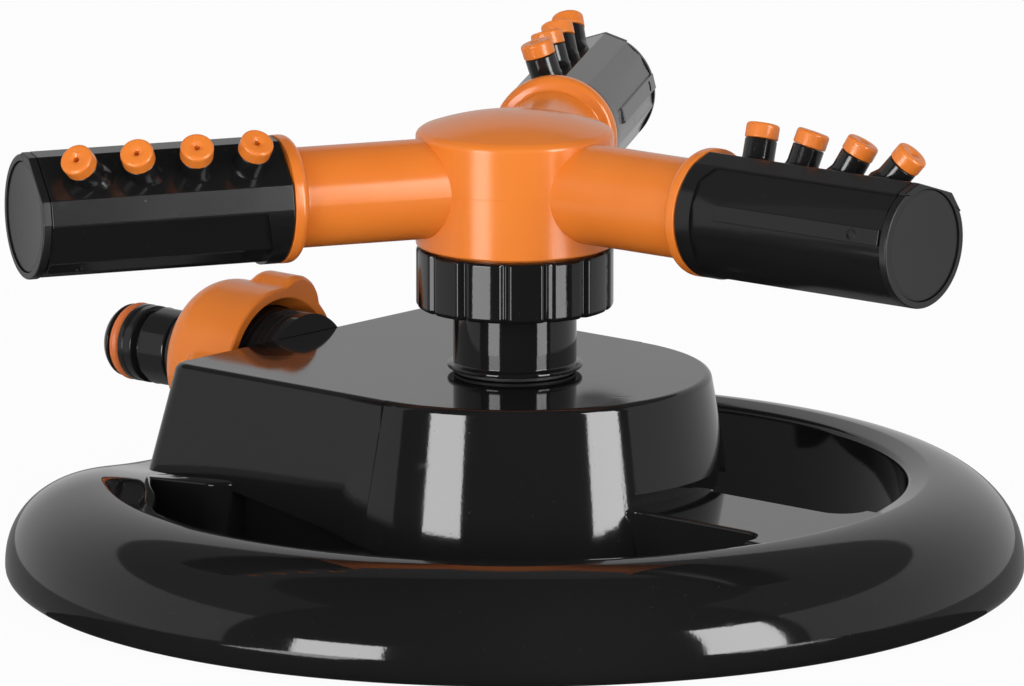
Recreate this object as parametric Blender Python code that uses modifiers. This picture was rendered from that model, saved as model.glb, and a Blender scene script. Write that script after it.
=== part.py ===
"""Rotary sprinkler: a ring foot, an inlet with a hose plug, and a three-armed head that turns on a riser.

Metres, +Z up. The origin is on the tower's axis at the ground. Each arm carries a nozzle tube that
swivels on the arm's spigot.
"""

from math import asin, cos, pi, radians, sin, sqrt

import bmesh
import bpy
from mathutils import Matrix, Vector

MM = 0.001
GAP = 0.3 * MM  # left between pieces that touch
FIT = 0.4 * MM  # radial play of a piece that turns on another
WALL = 2.5 * MM  # wall of the base moulding
DEEP = 40 * MM  # how far a cutter runs past what it cuts
CHAMFER = 0.5 * MM  # on small edges

# Ring foot
RING_RADIUS = 112.5 * MM
RING_WIDEST_Z = 3 * MM
RING_TUCK = 3.2 * MM  # how far the outer wall draws in below its widest line
RING_CROWN_RADIUS = 91 * MM
RING_CROWN_Z = 23.2 * MM
RING_RIM_WIDTH = 4.7 * MM  # from the crown in to the rim's inner wall
RING_INNER_RADIUS = RING_CROWN_RADIUS - RING_RIM_WIDTH
RING_RIM_DROP = 1.2 * MM
RING_FULLNESS_OUT = 1.8  # exponents of the section's curve from crown to widest line
RING_FULLNESS_UP = 2.2
RING_STEPS = 52
DRUM_STEPS = 36

# Housing, in its own directions: along the inlet (a), and square to it (l)
INLET_AZIMUTH = radians(138.5)
PLATE_Z = 45.6 * MM
HOUSING_TOP_RADIUS = 43.2 * MM
HOUSING_LOW_RADIUS = 47.5 * MM
HOUSING_LOW_Z = 21 * MM
HOUSING_EDGE = 1.6 * MM
SKIRT_Z = 2 * MM
SKIRT_START = radians(97.5)  # the skirt's crease, counted from the inlet's direction
TONGUE_TOP_LENGTH = 60.8 * MM
TONGUE_LEAN = 8.6 * MM  # how far the tongue's end wall leans out at HOUSING_LOW_Z
TONGUE_TOP_HALF = 44.8 * MM
TONGUE_LOW_HALF = 46.2 * MM
TONGUE_CORNER = 4 * MM
SIDE_EDGE_START_Z = 12.6 * MM  # lower edge of the near side wall at the skirt
SIDE_EDGE_END_Z = 20 * MM  # and at the bridge
RECESS_DEPTH = 4 * MM  # the near side's lower wall stands in by this much

# Spoke and bridge
SPOKE_Z = 23.1 * MM
SPOKE_HALF = 13 * MM
SPOKE_RING_FILLET = 6 * MM
SPOKE_FOOT_FILLET = 2.5 * MM
BRIDGE_START = 40 * MM
BRIDGE_HALF = 50 * MM
BRIDGE_GAP_HALF = 23.5 * MM  # the nut's clear space between the two halves
BRIDGE_Z = 21.8 * MM
BRIDGE_CORNER = 2.5 * MM

# Inlet
INLET_Z = 36.8 * MM
STUB_STANDOFF = 1 * MM  # from the tongue's top edge to the stub
STUB_START = TONGUE_TOP_LENGTH + STUB_STANDOFF
STUB_LENGTH = 19.7 * MM
STUB_END = STUB_START + STUB_LENGTH
STUB_RADIUS = 13.2 * MM
STUB_BORE = 9 * MM
STUB_FUNNEL = 2 * MM
PIPE_RADIUS = 6 * MM
PIPE_BORE = 4.4 * MM
PIPE_REACH = 6.2 * MM  # the elbow's pipe in the stub
PIPE_END = STUB_START + PIPE_REACH
NUT_OFFSET = 8.8 * MM  # from the stub's start to the nut
NUT_START = STUB_START + NUT_OFFSET
NUT_NOSE = 11.1 * MM  # the nut past the stub's end
NUT_END = STUB_END + NUT_NOSE
NUT_RADIUS = 18 * MM
NUT_FRONT_RADIUS = 12.6 * MM
NUT_DOME = 7 * MM  # length of the rounded nose
NUT_LOBES = 3
NUT_LOBE_HEIGHT = 3.2 * MM
NUT_LOBE_RADIUS = 10 * MM
NUT_LOBE_ROUND = 3 * MM
NUT_LOBE_SETBACK = 1.7 * MM  # from the shoulder inside back to the lobes' front
NUT_LOBE_TURN = radians(25)  # of the first lobe, off upright
TROUGH_RADIUS = NUT_RADIUS + 2 * GAP  # clear space for the nut across the ring's rim
WASHER_THICKNESS = 1.8 * MM
PLUG_FLANGE = 2.6 * MM
PLUG_SHANK_RADIUS = 9 * MM
PLUG_REST = 1.4 * MM  # outer flange that lies against the nut's front
PLUG_REST_RADIUS = 10.5 * MM
PLUG_WAIST_RADIUS = 7.5 * MM
PLUG_RADIUS = 8.75 * MM
PLUG_WAIST = 3.9 * MM  # from the nut to the collar
PLUG_COLLAR = 8 * MM
PLUG_CATCH = 2 * MM  # groove that a hose connector's catches grip
PLUG_COLLAR_START = NUT_END + PLUG_WAIST
PLUG_CATCH_START = PLUG_COLLAR_START + PLUG_COLLAR
PLUG_CATCH_END = PLUG_CATCH_START + PLUG_CATCH
PLUG_NECK_RADIUS = 7 * MM
PLUG_LIP = 5.8 * MM  # from the catch to the O-ring's middle
PLUG_TIP = 3.7 * MM  # from there to the end
PLUG_O_RING_S = PLUG_CATCH_END + PLUG_LIP
PLUG_O_RING_RADIUS = 7.4 * MM
PLUG_O_RING_HALF = 1.35 * MM
PLUG_TIP_RADIUS = 8.3 * MM
PLUG_BORE = 4.4 * MM
PLUG_END = PLUG_O_RING_S + PLUG_TIP
INLET_STEPS = 26
NUT_LOBE_STEPS = 18

# Tower
NECK_RADIUS = 13.6 * MM
NECK_BORE = 8.5 * MM
BEAD_RADIUS = 15 * MM
BEAD_HEIGHT = 1.5 * MM
GASKET_SPACE = 1.5 * MM  # between the plate and the bead
BEAD_Z = PLATE_Z + GASKET_SPACE
GASKET_RADIUS = 13.4 * MM
SPIGOT_RADIUS = 10.1 * MM
SPIGOT_LENGTH = 5 * MM  # below the plate's top
SPIGOT_LOW_Z = PLATE_Z - SPIGOT_LENGTH
CHAMBER_RADIUS = 12 * MM
CHAMBER_WALL = 2.2 * MM
CHAMBER_DEPTH = 9.8 * MM  # below the inlet's axis
CHAMBER_LOW_Z = INLET_Z - CHAMBER_DEPTH
RISER_O_RING_HALF = 0.75 * MM
COLLAR_RADIUS = 21.7 * MM
NECK_HEIGHT = 11.7 * MM  # in view between the bead and the collar nut
COLLAR_Z = BEAD_Z + BEAD_HEIGHT + NECK_HEIGHT
COLLAR_HEIGHT = 13.2 * MM
COLLAR_LIP = 2.6 * MM
COLLAR_GROOVES = 14
COLLAR_GROOVE_RADIUS = 0.9 * MM
COLLAR_GROOVE_TURN = radians(-96)
THREAD_RADIUS = 18.6 * MM
FLANGE_THICKNESS = 2.2 * MM
THRUST_WASHER = 0.9 * MM
RISER_FLANGE_Z = COLLAR_Z + COLLAR_LIP + THRUST_WASHER + 2 * GAP
RISER_FLANGE_RADIUS = THREAD_RADIUS
RISER_TOP_RADIUS = 11.6 * MM
TOWER_STEPS = 28

# Head
HUB_RADIUS = 21.8 * MM
HUB_CLEARANCE = 0.7 * MM  # over the collar nut
HUB_Z = COLLAR_Z + COLLAR_HEIGHT + HUB_CLEARANCE
RISER_IN_HUB = 2.8 * MM
RISER_TOP_Z = HUB_Z + RISER_IN_HUB
HUB_UNDER_ARM = 2.6 * MM
HUB_OVER_ARM = 1.1 * MM
ARM_RADIUS = 11 * MM
ARM_Z = HUB_Z + HUB_UNDER_ARM + ARM_RADIUS
HUB_RIM_Z = ARM_Z + ARM_RADIUS + HUB_OVER_ARM
HUB_DOME = 3.6 * MM
HUB_EDGE = 1.2 * MM
HUB_WALL = 2.8 * MM
ARM_BORE = 6.5 * MM
TUBE_START = 56 * MM
TUBE_END = 111.2 * MM
TUBE_RADIUS = 14 * MM
TUBE_WALL = 3 * MM
TUBE_BORE = TUBE_RADIUS - TUBE_WALL
FLANGE_WIDTH = 4 * MM
FLANGE_PROUD = 0.2 * MM  # past the tube
ARM_FLANGE_START = TUBE_START - FLANGE_WIDTH
ARM_FLANGE_RADIUS = TUBE_RADIUS + FLANGE_PROUD
TUBE_STEPS = 22
PANEL_STEP = 0.4 * MM
PANEL_START = 4 * MM  # from the tube's inner end
FACET_HALF = radians(26)
SECOND_FACET = radians(48)
PANEL_ANGLE = radians(50)  # the panel's long edges, off the facet's middle
RIB_ANGLE = radians(94)
RIB_WIDTH = 3.5 * MM
RIB_START = 10 * MM
RIB_ROOT = 1.5 * MM  # how deep a rib starts below its face
SOCKET_LENGTH = 8 * MM  # arm's spigot inside the tube
SNAP_BEAD = 0.8 * MM
SNAP_FROM_END = 2 * MM
O_RING_HALF = 0.8 * MM
O_RING_FROM_START = 2.6 * MM
CAP_THICKNESS = 1.8 * MM
CAP_PLUG = 5 * MM
CAP_PLUG_WALL = 2 * MM
CAP_RIM = 1.8 * MM
CAP_INSET_RADIUS = TUBE_RADIUS - CAP_RIM

# Nozzles
ARMS = {"left": radians(200.5), "right": radians(320.5), "rear": radians(80.5)}
TURNED = {"left": radians(41), "right": radians(18), "rear": radians(17)}  # tube's rest angle off upright
FAN = [radians(-3), radians(10), radians(23), radians(36)]  # outward tilt of each stem
NOZZLE_INNER_MARGIN = 10 * MM
NOZZLE_OUTER_MARGIN = 9.2 * MM
NOZZLE_FIRST = TUBE_START + NOZZLE_INNER_MARGIN
NOZZLE_LAST = TUBE_END - NOZZLE_OUTER_MARGIN
NOZZLE_PITCH = (NOZZLE_LAST - NOZZLE_FIRST) / (len(FAN) - 1)
STEM_RADIUS = 3.5 * MM
STEM_BORE = 2 * MM
TIP_RADIUS = 3.95 * MM
TIP_HEIGHT = 3.7 * MM
STEM_HEIGHT = 5.9 * MM
TIP_BORE = 0.65 * MM
TIP_SPIGOT = 3 * MM
TIP_STEPS = 10

BLACK = (0.012, 0.012, 0.013, 1)
ORANGE = (0.82, 0.215, 0.04, 1)
RUBBER = (0.02, 0.02, 0.02, 1)


def clear_scene():
    for thing in list(bpy.data.objects):
        bpy.data.objects.remove(thing, do_unlink=True)


def collection(name):
    made = bpy.data.collections.new(name)
    bpy.context.scene.collection.children.link(made)
    return made


def material(name, colour, roughness, metallic=0.0):
    made = bpy.data.materials.new(name)
    made.use_nodes = True
    shader = made.node_tree.nodes["Principled BSDF"]
    shader.inputs["Base Color"].default_value = colour
    shader.inputs["Roughness"].default_value = roughness
    shader.inputs["Metallic"].default_value = metallic
    made.diffuse_color = colour
    return made


def new_object(name, mesh, place=None):
    made = bpy.data.objects.new(name, mesh)
    parts.objects.link(made)
    if place is not None:
        made.matrix_world = place
    return made


def from_bmesh(name, bm, place=None):
    bmesh.ops.recalc_face_normals(bm, faces=bm.faces)
    mesh = bpy.data.meshes.new(name)
    bm.to_mesh(mesh)
    bm.free()
    return new_object(name, mesh, place)


def evaluated_mesh(thing):
    """The object's mesh with its modifiers applied, its close points welded."""
    bpy.context.view_layer.update()
    graph = bpy.context.evaluated_depsgraph_get()
    mesh = bpy.data.meshes.new_from_object(thing.evaluated_get(graph))
    bm = bmesh.new()
    bm.from_mesh(mesh)
    bmesh.ops.remove_doubles(bm, verts=bm.verts, dist=0.001 * MM)
    bm.to_mesh(mesh)
    bm.free()
    return mesh


def helper(thing):
    """Moves a shape that only cuts or joins others to the cutters."""
    parts.objects.unlink(thing)
    cutters.objects.link(thing)
    thing.hide_render = True
    thing.display_type = "WIRE"


def boolean(target, others, operation, solver):
    for other in others:
        added = target.modifiers.new(other.name, "BOOLEAN")
        added.operation = operation
        added.solver = solver
        added.object = other
        helper(other)
    return target


def join(target, *others, solver="EXACT"):
    return boolean(target, others, "UNION", solver)


def cut(target, *others, solver="EXACT"):
    return boolean(target, others, "DIFFERENCE", solver)


def finish(thing, surface, sharp=30):
    """Applies the modifiers, gives the material and shades smooth between sharp edges."""
    mesh = evaluated_mesh(thing)
    thing.modifiers.clear()
    thing.data = mesh
    mesh.name = thing.name
    mesh.materials.clear()
    mesh.materials.append(surface)
    mesh.shade_smooth()
    mesh.set_sharp_from_angle(angle=radians(sharp))
    return thing


def turned(name, profile, steps, place=None, closed=True):
    """Turns a profile of (radius, height) about Z. The profile runs down its outer side."""
    mesh = bpy.data.meshes.new(name)
    count = len(profile)
    edges = [(i, i + 1) for i in range(count - 1)]
    if closed:
        edges.append((count - 1, 0))
    mesh.from_pydata([(radius, 0, height) for radius, height in profile], edges, [])
    made = new_object(name, mesh, place)
    screw = made.modifiers.new("turn", "SCREW")
    screw.steps = steps
    screw.render_steps = steps
    screw.use_merge_vertices = True
    screw.merge_threshold = 0.00001
    return made


def prism(name, outline, low, high, place=None):
    """Extrudes a flat outline of (x, y) from one height to another."""
    curve = bpy.data.curves.new(name, "CURVE")
    curve.dimensions = "2D"
    curve.fill_mode = "BOTH"
    curve.extrude = (high - low) / 2
    line = curve.splines.new("POLY")
    line.points.add(len(outline) - 1)
    for point, (x, y) in zip(line.points, outline):
        point.co = (x, y, 0, 1)
    line.use_cyclic_u = True
    drawn = new_object(name + "_outline", curve)
    mesh = evaluated_mesh(drawn)
    bpy.data.objects.remove(drawn)
    mesh.transform(Matrix.Translation((0, 0, (low + high) / 2)))
    bm = bmesh.new()
    bm.from_mesh(mesh)
    return from_bmesh(name, bm, place)


def box(name, low, high, place=None):
    bm = bmesh.new()
    bmesh.ops.create_cube(bm, size=1)
    size = Vector(high) - Vector(low)
    middle = (Vector(high) + Vector(low)) / 2
    bmesh.ops.scale(bm, vec=size, verts=bm.verts)
    bmesh.ops.translate(bm, vec=middle, verts=bm.verts)
    return from_bmesh(name, bm, place)


def rod(name, radius, low, high, steps, place=None):
    bm = bmesh.new()
    bmesh.ops.create_cone(
        bm, cap_ends=True, segments=steps, radius1=radius, radius2=radius, depth=high - low
    )
    bmesh.ops.translate(bm, vec=(0, 0, (low + high) / 2), verts=bm.verts)
    return from_bmesh(name, bm, place)


def arc(middle, radius, start, end, count):
    """Points on an arc, its two ends included."""
    angles = [start + (end - start) * i / count for i in range(count + 1)]
    return [(middle[0] + radius * cos(t), middle[1] + radius * sin(t)) for t in angles]


def along(azimuth, height):
    """Frame whose Z runs outward at an azimuth and whose X points up."""
    outward = Vector((cos(azimuth), sin(azimuth), 0))
    up = Vector((0, 0, 1))
    side = outward.cross(up)
    turn = Matrix((up, side, outward)).transposed().to_4x4()
    return Matrix.Translation((0, 0, height)) @ turn


def ring_section(inset):
    """Section of the ring foot, drawn in by a wall's thickness on its outside, top and inside."""
    outer = RING_RADIUS - inset
    inner = RING_INNER_RADIUS + inset
    crown = RING_CROWN_Z - inset
    foot = 0 if inset == 0 else -DEEP
    steps = 8 if inset == 0 else 4
    points = [(inner, crown - RING_RIM_DROP)]
    for i in range(steps + 1):
        share = sin(i / steps * pi / 2)
        radius = RING_CROWN_RADIUS + (outer - RING_CROWN_RADIUS) * share
        drop = (1 - share**RING_FULLNESS_OUT) ** (1 / RING_FULLNESS_UP)
        points.append((radius, RING_WIDEST_Z + (crown - RING_WIDEST_Z) * drop))
    if inset == 0:
        points.append((outer - RING_TUCK * 0.3, RING_WIDEST_Z * 0.3))
        points.append((outer - RING_TUCK, foot))
    else:
        points.append((outer - RING_TUCK, RING_WIDEST_Z - RING_TUCK))
        points.append((outer - RING_TUCK, foot))
    points.append((inner, foot))
    return points


def housing_radius(height):
    slope = (HOUSING_LOW_RADIUS - HOUSING_TOP_RADIUS) / (PLATE_Z - HOUSING_LOW_Z)
    return HOUSING_TOP_RADIUS + slope * (PLATE_Z - height)


def housing_drum(name, inset):
    """Round part of the housing about the tower, down to the skirt's foot."""
    top = PLATE_Z - inset
    low = SKIRT_Z if inset == 0 else -DEEP
    radius = housing_radius(top) - inset
    rounded = [(radius, top)]
    if inset == 0:
        rounded = arc((radius - HOUSING_EDGE, top - HOUSING_EDGE), HOUSING_EDGE, pi / 2, 0, 3)
    profile = [(0, top)] + rounded + [(housing_radius(low) - inset, low), (0, low)]
    return turned(name, profile, DRUM_STEPS, closed=False)


def tongue_block(name, inset):
    """Straight part of the housing toward the inlet, its end wall leaning out."""
    top = PLATE_Z - inset
    low = SKIRT_Z if inset == 0 else -DEEP
    lean = TONGUE_LEAN / (PLATE_Z - HOUSING_LOW_Z)
    spread = (TONGUE_LOW_HALF - TONGUE_TOP_HALF) / (PLATE_Z - HOUSING_LOW_Z)
    bm = bmesh.new()
    bmesh.ops.create_cube(bm, size=1)
    for vert in bm.verts:
        height = top if vert.co.z > 0 else low
        fall = PLATE_Z - height
        half = TONGUE_TOP_HALF + spread * fall - inset
        length = TONGUE_TOP_LENGTH + lean * fall - inset
        side = half if vert.co.y > 0 else -half
        vert.co = Vector((length if vert.co.x > 0 else -inset, side, height))
    at_end = [edge for edge in bm.edges if all(vert.co.x > DEEP for vert in edge.verts)]
    upright = [edge for edge in at_end if abs(edge.verts[0].co.z - edge.verts[1].co.z) > CHAMFER]
    bmesh.ops.bevel(bm, geom=upright, offset=TONGUE_CORNER - inset, segments=4, profile=0.5, affect="EDGES")
    if inset == 0:
        on_top = [edge for edge in bm.edges if all(vert.co.z > top - GAP for vert in edge.verts)]
        level = [edge for edge in on_top if any(vert.co.x > CHAMFER for vert in edge.verts)]
        bmesh.ops.bevel(bm, geom=level, offset=HOUSING_EDGE, segments=3, profile=0.5, affect="EDGES")
    return from_bmesh(name, bm)


def side_edge(name, inset):
    """The space below the near side wall's sloping edge, outside its recessed lower wall."""
    crease = HOUSING_LOW_RADIUS * cos(SKIRT_START)
    rise = (SIDE_EDGE_END_Z - SIDE_EDGE_START_Z) / (BRIDGE_START - crease)
    bm = bmesh.new()
    bmesh.ops.create_cube(bm, size=1)
    for vert in bm.verts:
        length = BRIDGE_START + inset if vert.co.x > 0 else crease - inset
        half = 2 * DEEP if vert.co.y > 0 else TONGUE_LOW_HALF - RECESS_DEPTH - inset
        top = SIDE_EDGE_START_Z + rise * (length - crease) + inset
        vert.co = Vector((length, half, top if vert.co.z > 0 else -2 * DEEP))
    return from_bmesh(name, bm)


def spoke_outline(inset):
    """Outline of the spoke opposite the inlet, with fillets at the ring and at the housing's foot."""
    half = SPOKE_HALF - inset
    inner = RING_INNER_RADIUS + 2 * inset
    housing = HOUSING_LOW_RADIUS - 2 * inset
    wide = half + SPOKE_RING_FILLET
    narrow = half + SPOKE_FOOT_FILLET
    ring_middle = (-sqrt((inner - SPOKE_RING_FILLET) ** 2 - wide**2), wide)
    foot_middle = (-sqrt((housing + SPOKE_FOOT_FILLET) ** 2 - narrow**2), narrow)
    reach = asin(wide / (inner - SPOKE_RING_FILLET))
    lean = asin(narrow / (housing + SPOKE_FOOT_FILLET))
    upper = arc(ring_middle, SPOKE_RING_FILLET, pi - reach, 3 * pi / 2, 4)
    upper.insert(0, (-RING_CROWN_RADIUS, upper[0][1]))
    upper += arc(foot_middle, SPOKE_FOOT_FILLET, -pi / 2, -lean, 2)
    upper.append((-(housing - 2 * WALL), upper[-1][1]))
    return upper + [(x, -y) for x, y in reversed(upper)]


def bridge_half(name, side, inset):
    """One half of the bridge between the tongue and the ring, beside the nut's clear space."""
    start = BRIDGE_START + inset
    near = BRIDGE_GAP_HALF + inset
    far = BRIDGE_HALF - inset
    outline = [(start, near), (sqrt(RING_CROWN_RADIUS**2 - near**2), near)]
    outline.append((sqrt(RING_CROWN_RADIUS**2 - far**2), far))
    outline += arc((start + BRIDGE_CORNER, far - BRIDGE_CORNER), BRIDGE_CORNER, pi / 2, pi, 3)
    low = SKIRT_Z if inset == 0 else -DEEP
    return prism(name, [(x, side * y) for x, y in outline], low, BRIDGE_Z - inset)


def nut_trough(name, inset):
    """The trough that the coupling nut takes from the ring's rim."""
    start = RING_INNER_RADIUS - WALL
    return rod(name, TROUGH_RADIUS + inset, start, 2 * DEEP + start, INLET_STEPS, along(0, INLET_Z))


def base_outer():
    """The base's outer form, solid."""
    below = HOUSING_LOW_Z - 2 * DEEP
    drum = housing_drum("housing_drum", 0)
    cut(
        drum,
        box("drum_far_side", (-2 * DEEP, -2 * DEEP, below), (2 * DEEP, 0, HOUSING_LOW_Z)),
        side_edge("drum_side_edge", 0),
    )
    tongue = tongue_block("tongue", 0)
    cut(
        tongue,
        box("tongue_far_side", (-2 * DEEP, -2 * DEEP, below), (3 * DEEP, 0, HOUSING_LOW_Z)),
        box("tongue_end", (BRIDGE_START + WALL, -WALL, below), (3 * DEEP, 2 * DEEP, HOUSING_LOW_Z)),
        side_edge("tongue_side_edge", 0),
    )
    spoke = prism("spoke", spoke_outline(0), SKIRT_Z, SPOKE_Z)
    outer = turned("base", ring_section(0), RING_STEPS)
    halves = [bridge_half("near_bridge", 1, 0), bridge_half("far_bridge", -1, 0)]
    join(outer, drum, tongue, spoke, *halves, solver="MANIFOLD")
    return cut(outer, nut_trough("nut_trough", 0), solver="MANIFOLD")


def base_hollow():
    """The space inside the base's walls, open below."""
    drum = housing_drum("drum_hollow", WALL)
    cut(drum, side_edge("drum_recess_wall", WALL))
    tongue = tongue_block("tongue_hollow", WALL)
    boss_start = STUB_START - GAP - WALL
    cut(
        tongue,
        side_edge("tongue_recess_wall", WALL),
        rod("inlet_boss", STUB_RADIUS + GAP + WALL, boss_start, 2 * DEEP, INLET_STEPS, along(0, INLET_Z)),
    )
    spoke = prism("spoke_hollow", spoke_outline(WALL), -DEEP, SPOKE_Z - WALL)
    ring = turned("ring_hollow", ring_section(WALL), RING_STEPS)
    cut(ring, nut_trough("trough_wall", WALL), solver="MANIFOLD")
    halves = [bridge_half("near_bridge_hollow", 1, WALL), bridge_half("far_bridge_hollow", -1, WALL)]
    return join(ring, drum, tongue, spoke, *halves, solver="MANIFOLD")


def make_base():
    base = base_outer()
    cut(base, base_hollow(), solver="MANIFOLD")
    inlet = along(0, INLET_Z)
    cut(
        base,
        rod("riser_hole", SPIGOT_RADIUS + GAP, PLATE_Z - 2 * WALL, PLATE_Z + WALL, TOWER_STEPS),
        rod("pipe_hole", PIPE_RADIUS + GAP, STUB_START - 3 * WALL, STUB_START + WALL, INLET_STEPS, inlet),
        rod("stub_pocket", STUB_RADIUS + GAP, STUB_START - GAP, 2 * DEEP, INLET_STEPS, inlet),
        solver="MANIFOLD",
    )
    turn = Matrix.Rotation(INLET_AZIMUTH, 4, "Z")
    for thing in [base, *cutters.objects]:
        thing.matrix_world = turn @ thing.matrix_world
    finish(base, black_gloss)


def ring_profile(radius, height, half, sides=6):
    """Round section of an O-ring, running clockwise as seen in (radius, height)."""
    return [
        (radius + half * cos(-2 * pi * i / sides), height + half * sin(-2 * pi * i / sides))
        for i in range(sides)
    ]


def flat_ring(name, inner, outer, low, high, steps, surface, place=None):
    made = turned(name, [(outer, high), (outer, low), (inner, low), (inner, high)], steps, place)
    return finish(made, surface)


def make_riser():
    low = RISER_FLANGE_Z
    high = low + FLANGE_THICKNESS
    bead_top = BEAD_Z + BEAD_HEIGHT
    profile = [
        (RISER_TOP_RADIUS, RISER_TOP_Z),
        (RISER_TOP_RADIUS, high),
        (RISER_FLANGE_RADIUS, high),
        (RISER_FLANGE_RADIUS, low),
        (NECK_RADIUS, low),
        (NECK_RADIUS, bead_top),
        (BEAD_RADIUS - CHAMFER, bead_top),
        (BEAD_RADIUS, bead_top - CHAMFER),
        (BEAD_RADIUS, BEAD_Z),
        (SPIGOT_RADIUS, BEAD_Z),
        (SPIGOT_RADIUS, SPIGOT_LOW_Z),
        (NECK_BORE, SPIGOT_LOW_Z),
        (NECK_BORE, RISER_TOP_Z),
    ]
    finish(turned("riser_tube", profile, TOWER_STEPS), black_gloss)
    inner = SPIGOT_RADIUS + GAP
    flat_ring("riser_gasket", inner, GASKET_RADIUS, PLATE_Z + GAP, BEAD_Z - GAP, TOWER_STEPS, seal_rubber)


def make_elbow():
    inlet = along(INLET_AZIMUTH, INLET_Z)
    top = PLATE_Z - WALL - GAP
    seat = top - 2 * RISER_O_RING_HALF - GAP
    seat_radius = SPIGOT_RADIUS + 2 * GAP + 2 * RISER_O_RING_HALF
    outer = CHAMBER_RADIUS + CHAMBER_WALL
    elbow = rod("inlet_elbow", outer, CHAMBER_LOW_Z - CHAMBER_WALL, top, TOWER_STEPS)
    join(elbow, rod("elbow_pipe", PIPE_RADIUS, outer - 2 * CHAMBER_WALL, PIPE_END, INLET_STEPS, inlet))
    inside = [
        (0, top + WALL),
        (seat_radius, top + WALL),
        (seat_radius, seat),
        (SPIGOT_RADIUS + GAP, seat),
        (SPIGOT_RADIUS + GAP, SPIGOT_LOW_Z - GAP),
        (CHAMBER_RADIUS, SPIGOT_LOW_Z - GAP),
        (CHAMBER_RADIUS, CHAMBER_LOW_Z),
        (0, CHAMBER_LOW_Z),
    ]
    cut(
        elbow,
        turned("elbow_chamber", inside, TOWER_STEPS, closed=False),
        rod("elbow_bore", PIPE_BORE, CHAMBER_RADIUS / 2, PIPE_END + WALL, INLET_STEPS, inlet),
    )
    finish(elbow, black_gloss)
    middle = seat_radius - GAP - RISER_O_RING_HALF
    profile = ring_profile(middle, top - RISER_O_RING_HALF, RISER_O_RING_HALF)
    finish(turned("riser_o_ring", profile, TOWER_STEPS), seal_rubber)


def make_inlet():
    place = along(INLET_AZIMUTH, INLET_Z)
    socket_end = PIPE_END + GAP
    stub = [
        (STUB_RADIUS - 2 * CHAMFER, STUB_END),
        (STUB_RADIUS, STUB_END - 2 * CHAMFER),
        (STUB_RADIUS, STUB_START),
        (PIPE_RADIUS + GAP, STUB_START),
        (PIPE_RADIUS + GAP, socket_end),
        (PIPE_BORE, socket_end),
        (PIPE_BORE, socket_end + STUB_FUNNEL / 2),
        (STUB_BORE, socket_end + 3 * STUB_FUNNEL / 2),
        (STUB_BORE, STUB_END),
    ]
    finish(turned("inlet_bush", stub, INLET_STEPS, place), black_gloss)
    washer_start = STUB_END + GAP
    washer_end = washer_start + WASHER_THICKNESS
    bore = PLUG_BORE + 2 * CHAMFER
    flat_ring("hose_washer", bore, STUB_RADIUS, washer_start, washer_end, INLET_STEPS, seal_rubber, place)
    flange_start = washer_end + GAP
    flange_end = flange_start + PLUG_FLANGE
    rest = NUT_END + GAP
    groove = PLUG_O_RING_RADIUS - PLUG_O_RING_HALF - GAP
    tip_start = PLUG_O_RING_S + PLUG_O_RING_HALF + GAP
    body_end = PLUG_O_RING_S - PLUG_O_RING_HALF - GAP
    plug = [
        (PLUG_TIP_RADIUS - 2 * CHAMFER, PLUG_END),
        (PLUG_TIP_RADIUS, PLUG_END - 2 * CHAMFER),
        (PLUG_TIP_RADIUS, tip_start),
        (groove, tip_start),
        (groove, body_end),
        (PLUG_RADIUS, body_end),
        (PLUG_RADIUS, PLUG_CATCH_END),
        (PLUG_NECK_RADIUS, PLUG_CATCH_END - CHAMFER),
        (PLUG_NECK_RADIUS, PLUG_CATCH_START + CHAMFER),
        (PLUG_RADIUS, PLUG_CATCH_START),
        (PLUG_RADIUS, PLUG_COLLAR_START),
        (PLUG_WAIST_RADIUS, PLUG_COLLAR_START),
        (PLUG_WAIST_RADIUS, rest + PLUG_REST),
        (PLUG_REST_RADIUS, rest + PLUG_REST),
        (PLUG_REST_RADIUS, rest),
        (PLUG_SHANK_RADIUS, rest),
        (PLUG_SHANK_RADIUS, flange_end),
        (STUB_RADIUS - GAP, flange_end),
        (STUB_RADIUS - GAP, flange_start),
        (PLUG_BORE, flange_start),
        (PLUG_BORE, PLUG_END),
    ]
    finish(turned("hose_nipple", plug, INLET_STEPS, place), black_gloss)
    profile = ring_profile(PLUG_O_RING_RADIUS, PLUG_O_RING_S, PLUG_O_RING_HALF)
    finish(turned("nipple_o_ring", profile, INLET_STEPS, place), orange_gloss)
    make_coupling_nut(place, flange_end + GAP)


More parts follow.
